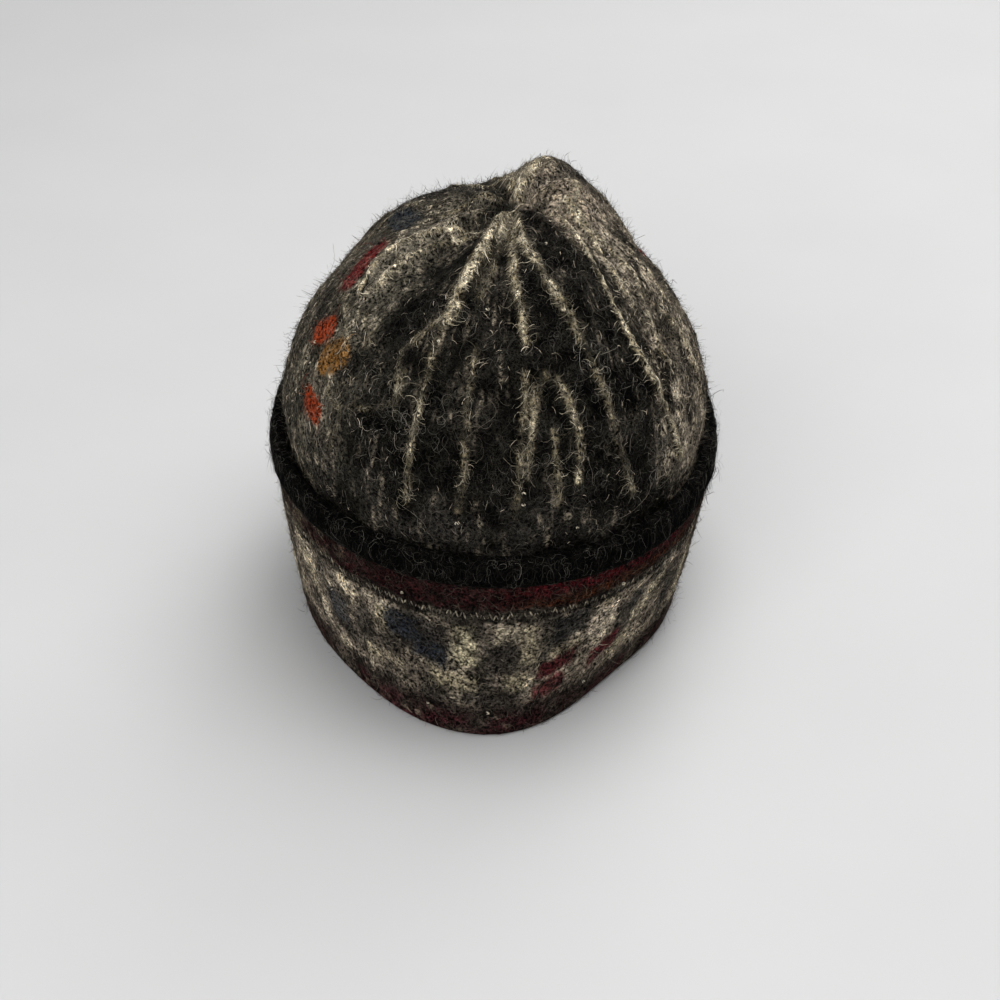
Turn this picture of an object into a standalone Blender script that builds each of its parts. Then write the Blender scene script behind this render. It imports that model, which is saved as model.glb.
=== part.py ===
"""A knitted and fulled wool beanie with a wide turned-up cuff, standing on its bottom fold.

+Z is up, +Y is the front, and the origin is the middle of the bottom fold, on the ground.
A place on the crown is a turn and a rise. The turn is in degrees, from 0 at +X to 90 at the front.
The rise is -1 on the ground, 0 at the top of the cuff and 1 at the gathered top.
"""

import math
from collections import namedtuple

import bmesh
import bpy
from mathutils import Vector

MM = 0.001

# Main sizes, over the crown's outer face
CROWN_WIDTH = 164 * MM  # left to right, where the crown comes out of the cuff
CROWN_LENGTH = 198 * MM  # back to front, at the same height
CROWN_RISE = 98 * MM  # from there to the top of the dome, before the gather's dip
CUFF_HEIGHT = 84 * MM  # from the ground to the top of the black edge
HEM_WIDTH = 146 * MM  # of the crown's tube at the ground
HEM_LENGTH = 196 * MM
TOP_SHIFT = 5 * MM  # how far the gather leans to the right

# Fabric
CROWN_WALL = 3.0 * MM
CUFF_WALL = 4.0 * MM
CUFF_STANDOFF = 0.6 * MM  # how far the cuff leans off the crown at its top
EDGE_HEIGHT = 12.5 * MM
EDGE_THICKNESS = 6.4 * MM
FOLD_HEIGHT = 8.0 * MM  # of the doubled fabric at the bottom fold
FOLD_FLAT = 3.4 * MM  # width that the ground flattens under the fold
FIT_GAP = 0.35 * MM

# Top of the crown
DOME_TAPER = 1.14  # 1 is an ellipse from the side, and more draws the dome in towards its top
DOME_BULGE = 2.2 * MM  # how far the crown swells out above the cuff
BULGE_RISE = 0.12  # where it swells most
PLEAT_DEPTH = 2.8 * MM
PLEAT_START = 10.0 * MM  # nearer to the gather than this, the pleats close up
PLEAT_INSIDE = 0.5  # share of the pleats' depth that shows on the inner face
GATHER_DIP = 7.0 * MM
GATHER_RADIUS = 14.0 * MM

# How the hat is divided into flat faces
COLUMNS = 72
DOME_ROWS = 20
TUBE_ROWS = 4
LINING_ROWS = 14
WALL_ROWS = 5
CORNER_ROWS = 3
EDGE_SIDES = 12
EDGE_SQUARENESS = 0.7  # 1 is an oval section, and less is squarer
WELD = 0.01 * MM

# The tube's plan at heights from the ground (height 0) to the top of the cuff (height 1). widening
# goes from the hem's sizes to the crown's. back_left, back_right and front say how far the plan is
# pressed in at its corners, as a share of its half sizes. A corner below 0 is squarer than an oval.
Plan = namedtuple("Plan", "height widening back_left back_right front")
TUBE_PLANS = (
    Plan(height=0.0, widening=0.00, back_left=0.065, back_right=0.120, front=0.00),
    Plan(height=0.4, widening=0.64, back_left=0.045, back_right=0.065, front=-0.01),
    Plan(height=0.8, widening=1.00, back_left=0.010, back_right=0.000, front=-0.03),
    Plan(height=1.0, widening=1.00, back_left=0.000, back_right=0.000, front=-0.03),
)

# Pleats that run down from the gather. lift is a share of PLEAT_DEPTH (a valley is below 0), spread
# is in degrees, and reach is the share of the dome's rise over which the pleat fades out.
Pleat = namedtuple("Pleat", "turn lift spread reach")
PLEATS = (
    Pleat(turn=283, lift=1.0, spread=12, reach=0.85),
    Pleat(turn=264, lift=-1.1, spread=11, reach=0.75),
    Pleat(turn=246, lift=1.1, spread=11, reach=0.90),
    Pleat(turn=221, lift=-1.5, spread=14, reach=0.70),
    Pleat(turn=197, lift=0.9, spread=11, reach=0.80),
    Pleat(turn=172, lift=-1.0, spread=14, reach=0.60),
    Pleat(turn=146, lift=0.8, spread=14, reach=0.75),
    Pleat(turn=110, lift=-0.9, spread=16, reach=0.60),
    Pleat(turn=78, lift=0.9, spread=16, reach=0.75),
    Pleat(turn=40, lift=-0.8, spread=16, reach=0.60),
    Pleat(turn=6, lift=0.8, spread=15, reach=0.75),
    Pleat(turn=332, lift=-0.9, spread=13, reach=0.70),
    Pleat(turn=307, lift=1.0, spread=12, reach=0.90),
)

# Broad hollows and swellings. push is a share of CROWN_RISE (a hollow is below 0), and reach is a
# share of CROWN_WIDTH.
Swell = namedtuple("Swell", "turn rise push reach")
SWELLS = (
    Swell(turn=60, rise=0.70, push=0.075, reach=0.14),
    Swell(turn=136, rise=0.72, push=-0.07, reach=0.20),
    Swell(turn=160, rise=0.38, push=-0.055, reach=0.12),
    Swell(turn=222, rise=0.74, push=-0.05, reach=0.20),
    Swell(turn=16, rise=0.42, push=-0.06, reach=0.17),
)


def between(table, height, column):
    """The column's value at a height, on a smooth curve through the table's rows."""
    places = [row.height for row in table]
    values = [getattr(row, column) for row in table]
    slopes = []
    for index in range(len(table)):
        low = max(0, index - 1)
        high = min(len(table) - 1, index + 1)
        slopes.append((values[high] - values[low]) / (places[high] - places[low]))
    index = sum(height > place for place in places[1:-1])
    span = places[index + 1] - places[index]
    share = min(1.0, max(0.0, (height - places[index]) / span))
    rest = 1 - share
    value = values[index] * rest * rest * (1 + 2 * share)
    value += values[index + 1] * share * share * (1 + 2 * rest)
    value += span * share * rest * (slopes[index] * rest - slopes[index + 1] * share)
    return value


def plan_point(turn, width, length, back_left, back_right, front):
    """A point on the plan's outline, pressed in or out at its corners."""
    angle = math.radians(turn % 360)
    press = front
    if turn % 360 > 270:
        press = back_right
    elif turn % 360 > 180:
        press = back_left
    size = 1 - press * math.sin(2 * angle) ** 2
    return Vector((width / 2 * size * math.cos(angle), length / 2 * size * math.sin(angle), 0))


def tube_frame(turn, rise):
    """A point of the smooth tube inside the cuff, with the way out of it."""
    height = 1 + rise
    widening = between(TUBE_PLANS, height, "widening")
    width = HEM_WIDTH + (CROWN_WIDTH - HEM_WIDTH) * widening
    length = HEM_LENGTH + (CROWN_LENGTH - HEM_LENGTH) * widening
    corners = [between(TUBE_PLANS, height, name) for name in ("back_left", "back_right", "front")]
    place = plan_point(turn, width, length, *corners)
    along = plan_point(turn + 1, width, length, *corners)
    along -= plan_point(turn - 1, width, length, *corners)
    place.z = CUFF_HEIGHT * height
    return place, Vector((along.y, -along.x, 0)).normalized()


def dome_frame(turn, rise):
    """A point of the smooth dome above the cuff, with the way out of it."""
    angle = math.pi / 2 * rise
    drawn_in = max(0.0, math.cos(angle)) ** DOME_TAPER
    front = TUBE_PLANS[-1].front * math.cos(angle)
    place = plan_point(turn, CROWN_WIDTH, CROWN_LENGTH, 0, 0, front) * drawn_in
    steep = Vector((place.x / CROWN_WIDTH**2, place.y / CROWN_LENGTH**2, 0))
    steep.z = math.sin(angle) / (4 * CROWN_RISE)
    place.z = CUFF_HEIGHT + CROWN_RISE * math.sin(angle)
    place.x += TOP_SHIFT * math.sin(angle) ** 2
    outward = steep.normalized()
    bulge = DOME_BULGE * rise / BULGE_RISE * math.exp(1 - rise / BULGE_RISE)
    return place + outward * bulge, outward


def smooth_frame(turn, rise):
    if rise < 0:
        return tube_frame(turn, rise)
    return dome_frame(turn, rise)


def swell_lift(place):
    """How far the broad hollows and swellings move a place in or out."""
    lift = 0.0
    for swell in SWELLS:
        centre, _ = smooth_frame(swell.turn, swell.rise)
        away = (place - centre).length / (swell.reach * CROWN_WIDTH)
        lift += swell.push * CROWN_RISE * math.exp(-away * away)
    return lift


def pleat_lift(turn, rise, from_gather):
    """How far the pleats move a place in or out."""
    lift = 0.0
    for pleat in PLEATS:
        away = (turn - pleat.turn + 180) % 360 - 180
        fade = max(0.0, 1 - (1 - rise) / pleat.reach)
        lift += pleat.lift * math.exp(-((away / pleat.spread) ** 2)) * math.sin(math.pi / 2 * fade)
    return PLEAT_DEPTH * lift * min(1.0, from_gather / PLEAT_START)


def crown_skin(turn, rise, pleating=1.0):
    """A point of the crown's outer face with its hollows and pleats, and the way out of it."""
    place, outward = smooth_frame(turn, rise)
    from_gather = math.hypot(place.x - TOP_SHIFT, place.y)
    lift = swell_lift(place) + pleating * pleat_lift(turn, rise, from_gather)
    if rise > 0:
        place.z -= GATHER_DIP * math.exp(-((from_gather / GATHER_RADIUS) ** 2))
    return place + outward * lift, outward


def crown_rows():
    """The crown's wall as rows of rise, inset and pleating: down its outer face from the gather,
    and up its inner face."""
    bottom = (FOLD_HEIGHT + FIT_GAP) / CUFF_HEIGHT - 1
    rows = []
    for step in range(DOME_ROWS):
        rows.append((1 - step / DOME_ROWS, 0.0, 1.0))
    for step in range(TUBE_ROWS + 1):
        rows.append((bottom * step / TUBE_ROWS, 0.0, 1.0))
    for step in range(TUBE_ROWS + 1):
        rows.append((bottom * (1 - step / TUBE_ROWS), CROWN_WALL, PLEAT_INSIDE))
    for step in range(1, LINING_ROWS + 1):
        rows.append((step / LINING_ROWS, CROWN_WALL, PLEAT_INSIDE))
    return rows


def crown_place(turn, row):
    rise, inset, pleating = row
    place, outward = crown_skin(turn, rise, pleating)
    return place - outward * inset


def rounded_corner(centre, radius, first, last):
    """Points of a corner's arc between two angles in degrees, as offsets and heights."""
    points = []
    for step in range(CORNER_ROWS + 1):
        angle = math.radians(first + (last - first) * step / CORNER_ROWS)
        points.append(centre + Vector((math.cos(angle), math.sin(angle))) * radius)
    return points


def cuff_rows():
    """The cuff's section, as offsets from the crown's outer face and heights, all the way round it.
    The turned-up wall goes up outside the crown, and the fold's short lip carries the crown."""
    inner = FIT_GAP
    outer = FIT_GAP + CUFF_WALL
    lip = -CROWN_WALL
    top = CUFF_HEIGHT - EDGE_HEIGHT - FIT_GAP
    corner = (outer - lip - FOLD_FLAT) / 2
    rows = []
    for step in range(WALL_ROWS):
        rows.append(Vector((outer, corner + (top - corner) * step / WALL_ROWS)))
    rows.append(Vector((outer, top)))
    for step in range(WALL_ROWS + 1):
        rows.append(Vector((inner, top + (FOLD_HEIGHT - top) * step / WALL_ROWS)))
    rows.append(Vector((lip, FOLD_HEIGHT)))
    rows += rounded_corner(Vector((lip + corner, corner)), corner, 180, 270)
    rows += rounded_corner(Vector((outer - corner, corner)), corner, 270, 360)
    return rows


def edge_rows():
    """The rolled edge's rounded section, as offsets from the crown's outer face and heights."""
    middle = Vector((FIT_GAP + EDGE_THICKNESS / 2, CUFF_HEIGHT - EDGE_HEIGHT / 2))
    rows = []
    for side in range(EDGE_SIDES + 1):
        angle = math.tau * side / EDGE_SIDES
        across = math.copysign(abs(math.cos(angle)) ** EDGE_SQUARENESS, math.cos(angle))
        upward = math.copysign(abs(math.sin(angle)) ** EDGE_SQUARENESS, math.sin(angle))
        rows.append(middle + Vector((EDGE_THICKNESS / 2 * across, EDGE_HEIGHT / 2 * upward)))
    return rows


def cuff_place(turn, row):
    """A point of the turned-up fabric, which leans off the crown towards its top."""
    offset, height = row
    place, outward = crown_skin(turn, min(0.0, height / CUFF_HEIGHT - 1))
    if offset > 0:
        offset += CUFF_STANDOFF * (height / CUFF_HEIGHT) ** 2
    return place + outward * offset


def material(name, colour, roughness):
    made = bpy.data.materials.new(name)
    made.use_nodes = True
    shader = made.node_tree.nodes["Principled BSDF"]
    shader.inputs["Base Color"].default_value = (*colour, 1)
    shader.inputs["Roughness"].default_value = roughness
    shader.inputs["Metallic"].default_value = 0.0
    made.diffuse_color = (*colour, 1)
    return made


def wrapped_grid(name, rows, place, collection, wool):
    """A grid wrapped round the hat, with a line of points for each row. Points that meet are welded."""
    bm = bmesh.new()
    bmesh.ops.create_grid(bm, x_segments=COLUMNS, y_segments=len(rows) - 1, size=0.5)
    for vert in bm.verts:
        column = round((vert.co.x + 0.5) * COLUMNS) % COLUMNS
        row = rows[round((vert.co.y + 0.5) * (len(rows) - 1))]
        vert.co = place(360 * column / COLUMNS, row)
    bmesh.ops.remove_doubles(bm, verts=bm.verts, dist=WELD)
    bmesh.ops.recalc_face_normals(bm, faces=bm.faces)
    mesh = bpy.data.meshes.new(name)
    bm.to_mesh(mesh)
    bm.free()
    mesh.shade_smooth()
    mesh.set_sharp_from_angle(angle=math.radians(50))
    mesh.materials.append(wool)
    made = bpy.data.objects.new(name, mesh)
    collection.objects.link(made)
    return made


def main():
    for old in list(bpy.data.objects):
        bpy.data.objects.remove(old, do_unlink=True)
    collection = bpy.data.collections.new("beanie")
    bpy.context.scene.collection.children.link(collection)
    crown_wool = material("charcoal_fulled_wool", (0.035, 0.031, 0.026), 0.95)
    cuff_wool = material("patterned_fulled_wool", (0.10, 0.075, 0.06), 0.95)
    edge_wool = material("black_fulled_wool", (0.008, 0.007, 0.007), 0.95)
    wrapped_grid("crown", crown_rows(), crown_place, collection, crown_wool)
    wrapped_grid("cuff", cuff_rows(), cuff_place, collection, cuff_wool)
    wrapped_grid("cuff_edge", edge_rows(), cuff_place, collection, edge_wool)


main()
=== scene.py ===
# %% [markdown]
# # A fulled wool beanie
# This hat is knitted from marled wool and then fulled: it is washed hot until the stitches felt
# together under a fuzz of loose fibres. Pale slubs run down from the gathered top, and a wide
# cuff is turned up round the bottom. The lesson builds the fabric's relief, its colours and its
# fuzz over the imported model, which is the frame that every piece has to fit.

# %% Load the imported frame
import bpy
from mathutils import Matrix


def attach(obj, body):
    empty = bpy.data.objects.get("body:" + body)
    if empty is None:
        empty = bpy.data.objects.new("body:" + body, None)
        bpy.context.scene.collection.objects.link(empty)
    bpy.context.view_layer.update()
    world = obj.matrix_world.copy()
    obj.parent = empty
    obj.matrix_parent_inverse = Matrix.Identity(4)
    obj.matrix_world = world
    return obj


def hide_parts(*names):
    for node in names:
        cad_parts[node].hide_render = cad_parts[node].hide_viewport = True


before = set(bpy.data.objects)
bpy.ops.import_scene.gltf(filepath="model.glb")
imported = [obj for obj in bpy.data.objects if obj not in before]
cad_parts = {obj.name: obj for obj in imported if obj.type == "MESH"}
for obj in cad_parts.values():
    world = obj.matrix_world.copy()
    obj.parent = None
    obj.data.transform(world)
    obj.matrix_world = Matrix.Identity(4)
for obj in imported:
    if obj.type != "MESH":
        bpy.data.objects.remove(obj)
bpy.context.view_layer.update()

# %% Bring in the tools
import itertools
import math
from collections import namedtuple

import bmesh
import bpy
import numpy as np
from mathutils import Matrix

MM = 0.001

# %% [markdown]
# ## The shape under the fuzz
# A place on the hat is a turn and a rise. The turn goes round it in degrees, from 0 at the right
# to 90 at the front, and the rise is -1 on the ground, 0 at the top of the cuff and 1 at the
# gather. The frame was made from the same sizes, so a skin that repeats them lies exactly on it.
# Arrays of places are worked out all at once, because a fine skin has a hundred thousand.

# %% The hat's sizes
CROWN_WIDTH = 164 * MM
CROWN_LENGTH = 198 * MM
CROWN_RISE = 98 * MM
CUFF_HEIGHT = 84 * MM
HEM_WIDTH = 146 * MM
HEM_LENGTH = 196 * MM
TOP_SHIFT = 5 * MM
CROWN_WALL = 3.0 * MM
CUFF_WALL = 4.0 * MM
CUFF_STANDOFF = 0.6 * MM
EDGE_HEIGHT = 12.5 * MM
EDGE_THICKNESS = 6.4 * MM
FOLD_HEIGHT = 8.0 * MM
FOLD_FLAT = 3.4 * MM
FIT_GAP = 0.35 * MM
DOME_TAPER = 1.14
DOME_BULGE = 2.2 * MM
BULGE_RISE = 0.12
PLEAT_DEPTH = 2.8 * MM
PLEAT_START = 10.0 * MM
PLEAT_INSIDE = 0.5
GATHER_DIP = 7.0 * MM
GATHER_RADIUS = 14.0 * MM
EDGE_SQUARENESS = 0.7
CUFF_OUTER = FIT_GAP + CUFF_WALL

# Rough distances, which turn degrees and rises into metres over the crown, cuff and edge.
CROWN_RADIUS = 88 * MM
CROWN_ARC = 150 * MM
LEAST_RADIUS = 6 * MM
CUFF_RADIUS = 92 * MM
EDGE_RADIUS = 94 * MM
print("Hat's height, in mm:", round((CUFF_HEIGHT + CROWN_RISE) / MM))

# %% The tube's plans, the pleats and the swells
Plan = namedtuple("Plan", "height widening back_left back_right front")
TUBE_PLANS = (
    Plan(height=0.0, widening=0.00, back_left=0.065, back_right=0.120, front=0.00),
    Plan(height=0.4, widening=0.64, back_left=0.045, back_right=0.065, front=-0.01),
    Plan(height=0.8, widening=1.00, back_left=0.010, back_right=0.000, front=-0.03),
    Plan(height=1.0, widening=1.00, back_left=0.000, back_right=0.000, front=-0.03),
)
Pleat = namedtuple("Pleat", "turn lift spread reach")
PLEATS = (
    Pleat(turn=283, lift=1.0, spread=12, reach=0.85),
    Pleat(turn=264, lift=-1.1, spread=11, reach=0.75),
    Pleat(turn=246, lift=1.1, spread=11, reach=0.90),
    Pleat(turn=221, lift=-1.5, spread=14, reach=0.70),
    Pleat(turn=197, lift=0.9, spread=11, reach=0.80),
    Pleat(turn=172, lift=-1.0, spread=14, reach=0.60),
    Pleat(turn=146, lift=0.8, spread=14, reach=0.75),
    Pleat(turn=110, lift=-0.9, spread=16, reach=0.60),
    Pleat(turn=78, lift=0.9, spread=16, reach=0.75),
    Pleat(turn=40, lift=-0.8, spread=16, reach=0.60),
    Pleat(turn=6, lift=0.8, spread=15, reach=0.75),
    Pleat(turn=332, lift=-0.9, spread=13, reach=0.70),
    Pleat(turn=307, lift=1.0, spread=12, reach=0.90),
)
Swell = namedtuple("Swell", "turn rise push reach")
SWELLS = (
    Swell(turn=60, rise=0.70, push=0.075, reach=0.14),
    Swell(turn=136, rise=0.72, push=-0.07, reach=0.20),
    Swell(turn=160, rise=0.38, push=-0.055, reach=0.12),
    Swell(turn=222, rise=0.74, push=-0.05, reach=0.20),
    Swell(turn=16, rise=0.42, push=-0.06, reach=0.17),
)
print(len(PLEATS), "pleats and", len(SWELLS), "swells")


# %% The smooth tube and the smooth dome
def between(table, heights, column):
    """The column's values at heights, on a smooth curve through the table's rows."""
    places = np.array([row.height for row in table])
    values = np.array([getattr(row, column) for row in table])
    low = np.clip(np.arange(len(table)) - 1, 0, None)
    high = np.clip(np.arange(len(table)) + 1, None, len(table) - 1)
    slopes = (values[high] - values[low]) / (places[high] - places[low])
    index = np.clip(np.searchsorted(places, heights) - 1, 0, len(table) - 2)
    span = places[index + 1] - places[index]
    share = np.clip((heights - places[index]) / span, 0, 1)
    rest = 1 - share
    value = values[index] * rest**2 * (1 + 2 * share)
    value = value + values[index + 1] * share**2 * (1 + 2 * rest)
    return value + span * share * rest * (slopes[index] * rest - slopes[index + 1] * share)


def plan_points(turns, width, length, back_left, back_right, front):
    """Points of a level section: an oval that is pressed in at its corners."""
    angles = np.radians(turns)
    round_turns = turns % 360
    press = np.where(round_turns > 180, back_left, front)
    press = np.where(round_turns > 270, back_right, press)
    size = 1 - press * np.sin(2 * angles) ** 2
    across = width / 2 * size * np.cos(angles)
    return np.stack([across, length / 2 * size * np.sin(angles), 0 * across], -1)


def unit(vectors):
    """Vectors made 1 long."""
    return vectors / np.maximum(np.linalg.norm(vectors, axis=-1, keepdims=True), 1e-12)


def tube_frame(turns, rises):
    """Places on the smooth tube below the top of the cuff, and the way out of it."""
    heights = 1 + rises
    widening = between(TUBE_PLANS, heights, "widening")
    width = HEM_WIDTH + (CROWN_WIDTH - HEM_WIDTH) * widening
    length = HEM_LENGTH + (CROWN_LENGTH - HEM_LENGTH) * widening
    corners = [between(TUBE_PLANS, heights, name) for name in ("back_left", "back_right", "front")]
    places = plan_points(turns, width, length, *corners)
    along = plan_points(turns + 1, width, length, *corners)
    along = along - plan_points(turns - 1, width, length, *corners)
    places[:, 2] = CUFF_HEIGHT * heights
    return places, unit(np.stack([along[:, 1], -along[:, 0], 0 * heights], -1))


def dome_frame(turns, rises):
    """Places on the smooth dome above the top of the cuff, and the way out of it."""
    angles = math.pi / 2 * rises
    drawn_in = np.clip(np.cos(angles), 0, None) ** DOME_TAPER
    front = TUBE_PLANS[-1].front * np.cos(angles)
    places = plan_points(turns, CROWN_WIDTH, CROWN_LENGTH, 0, 0, front) * drawn_in[:, None]
    outward = np.stack([places[:, 0] / CROWN_WIDTH**2, places[:, 1] / CROWN_LENGTH**2,
                        np.sin(angles) / (4 * CROWN_RISE)], -1)
    outward = unit(outward)
    places[:, 2] = CUFF_HEIGHT + CROWN_RISE * np.sin(angles)
    places[:, 0] += TOP_SHIFT * np.sin(angles) ** 2
    bulge = DOME_BULGE * rises / BULGE_RISE * np.exp(1 - rises / BULGE_RISE)
    return places + outward * bulge[:, None], outward


print("Widest, in mm:", tube_frame(np.array([0.0]), np.array([0.0]))[0].round(4)[0, 0] / MM)


# %% The crown's skin, with its pleats and hollows
def smooth_frame(turns, rises):
    """Places on the smooth hat at any rise, and the way out."""
    low, low_out = tube_frame(turns, np.minimum(rises, 0))
    high, high_out = dome_frame(turns, np.maximum(rises, 0))
    above = (rises >= 0)[:, None]
    return np.where(above, high, low), np.where(above, high_out, low_out)


def around(turns, turn):
    """How far turns lie from a turn, in degrees from -180 to 180."""
    return (turns - turn + 180) % 360 - 180


def crown_skin(turns, rises, pleating=1.0):
    """Places on the crown's outer face, and the way out of it."""
    turns, rises = np.broadcast_arrays(np.asarray(turns, float), np.asarray(rises, float))
    places, outward = smooth_frame(turns, rises)
    from_gather = np.hypot(places[:, 0] - TOP_SHIFT, places[:, 1])
    lift = np.zeros(len(turns))
    for swell in SWELLS:
        centre = smooth_frame(np.array([swell.turn]), np.array([swell.rise]))[0]
        away = np.linalg.norm(places - centre, axis=1) / (swell.reach * CROWN_WIDTH)
        lift += swell.push * CROWN_RISE * np.exp(-away * away)
    closing = pleating * PLEAT_DEPTH * np.minimum(1, from_gather / PLEAT_START)
    for pleat in PLEATS:
        fade = np.maximum(0, 1 - (1 - rises) / pleat.reach)
        ridge = np.exp(-((around(turns, pleat.turn) / pleat.spread) ** 2))
        lift += closing * pleat.lift * ridge * np.sin(math.pi / 2 * fade)
    dip = GATHER_DIP * np.exp(-((from_gather / GATHER_RADIUS) ** 2)) * (rises > 0)
    places[:, 2] -= dip
    return places + outward * lift[:, None], outward


top = crown_skin(np.array([60.0]), np.array([0.80]))[0][0]
print("The hump by the gather is at", (top / MM).round(1), "mm")

# %% [markdown]
# ## Chance, but the same every time
# Wool is never even. Each lump, streak and clump here comes from one noise function. It gives
# every corner of a lattice a value that depends only on the corner's numbers and a seed, and
# blends between them, so the hat comes out the same on every run.

# %% Smooth noise at a size in metres
CELL_FACTORS = np.array([73856093, 19349663, 83492791])
SEED_FACTOR = 2971215073
STIRS = ((15, 2246822519), (13, 3266489917))


def wool_noise(places, size, seed):
    """Values from -1 to 1 that change smoothly over about size metres."""
    spots = places / size + 7.31 * seed
    low = np.floor(spots).astype(np.int64)
    share = spots - low
    share = share * share * (3 - 2 * share)
    value = np.zeros(len(places))
    for corner in itertools.product((0, 1), repeat=3):
        cell = low + np.array(corner)
        mixed = np.bitwise_xor.reduce(cell * CELL_FACTORS, axis=1) ^ seed * SEED_FACTOR
        for shift, factor in STIRS:
            mixed = (mixed ^ (mixed >> shift)) * factor & 0xFFFFFFFF
        weight = np.prod(np.where(np.array(corner) == 1, share, 1 - share), axis=1)
        value += weight * ((mixed >> 8 & 0xFFFF) / 32767.5 - 1)
    return value


def streaks(turns, rises, across, along, seed):
    """Noise drawn out down the dome, for marks that follow the knitting's columns."""
    angles = np.radians(turns)
    spots = np.stack([CROWN_RADIUS * np.cos(angles), CROWN_RADIUS * np.sin(angles),
                      CROWN_ARC * rises * across / along], -1)
    return wool_noise(spots, across, seed)


test = wool_noise(np.random.default_rng(1).uniform(0, 0.1, (4000, 3)), 3 * MM, 5)
print("Noise runs from", test.min().round(2), "to", test.max().round(2))


# %% [markdown]
# ## Colours
# A dyed yarn is chosen on a screen, as a hex colour, but light adds up in linear values.
# One function turns the one into the other.

# %% From hex to linear colour
def linear(code):
    """An sRGB hex colour as linear red, green and blue."""
    parts = [int(code[start:start + 2], 16) / 255 for start in (1, 3, 5)]
    return np.array([part / 12.92 if part <= 0.04045 else ((part + 0.055) / 1.055) ** 2.4
                     for part in parts])


def dye(colours, code, share):
    """Colours mixed with a dye, by a share from 0 to 1 at each place."""
    return colours + (linear(code) - colours) * np.clip(share, 0, 1)[:, None]


def plain(code, count):
    """One colour for each of count places."""
    return np.tile(linear(code), (count, 1))


def dyed(colours, *dyes):
    """Colours mixed with one dye after another, each a hex code and a share."""
    for code, share in dyes:
        colours = dye(colours, code, share)
    return colours


def ease(values, low, high):
    """0 below low and 1 above high, with a soft step between."""
    share = np.clip((values - low) / (high - low), 0, 1)
    return share * share * (3 - 2 * share)


def sector(turns, middle, half, soft):
    """1 inside a sector of turns and 0 outside it, with soft sides."""
    return 1 - ease(np.abs(around(turns, middle)), half - soft / 2, half + soft / 2)


print("Charcoal wool in linear light:", linear("#1b1916").round(4))

# %% [markdown]
# ## Slubs: the pale lines down the crown
# A slub is a thick, soft place in a yarn. Where pale yarn was knitted in narrow columns, fulling
# has drawn it into long pale ridges that meet at the gather. Each ridge is a path of turns and
# rises, with a half width in millimetres and a brightness, in a table that can be read and
# changed by hand. The front repeats the back's ridges half a turn on.

# %% The table of slubs
Slub = namedtuple("Slub", "width bright path")
BACK_SLUBS = (
    Slub(3.0, 0.95, ((262, 0.95), (250, 0.80), (248, 0.70), (248, 0.60), (248, 0.53))),
    Slub(1.7, 0.56, ((248, 0.53), (247, 0.46), (248, 0.38), (248, 0.29), (248, 0.20), (249, 0.10))),
    Slub(1.9, 0.62, ((262, 0.90), (260, 0.76), (259, 0.66), (258, 0.60))),
    Slub(3.6, 0.35, ((256, 0.86), (254, 0.72), (254, 0.62))),
    Slub(1.7, 0.48, ((247, 0.53), (240, 0.47), (236, 0.42), (239, 0.36), (241, 0.30))),
    Slub(1.9, 0.50, ((261, 0.47), (261, 0.38), (262, 0.29), (263, 0.20), (262, 0.11))),
    Slub(2.2, 0.68, ((268, 0.82), (272, 0.70), (274, 0.63), (277, 0.56), (278, 0.49))),
    Slub(1.7, 0.52, ((278, 0.42), (278, 0.35), (277, 0.27), (277, 0.18), (276, 0.10))),
    Slub(1.9, 0.66, ((279, 0.19), (280, 0.30), (281, 0.38), (284, 0.41), (288, 0.40), (291, 0.35),
                     (293, 0.28), (293, 0.22), (292, 0.17))),
    Slub(1.9, 0.48, ((286, 0.29), (286, 0.25), (287, 0.17), (287, 0.12))),
    Slub(2.3, 0.76, ((274, 0.88), (278, 0.77), (286, 0.70), (292, 0.61), (296, 0.53))),
    Slub(2.0, 0.56, ((296, 0.53), (300, 0.43), (303, 0.34), (304, 0.25), (306, 0.17), (308, 0.09))),
)
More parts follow.
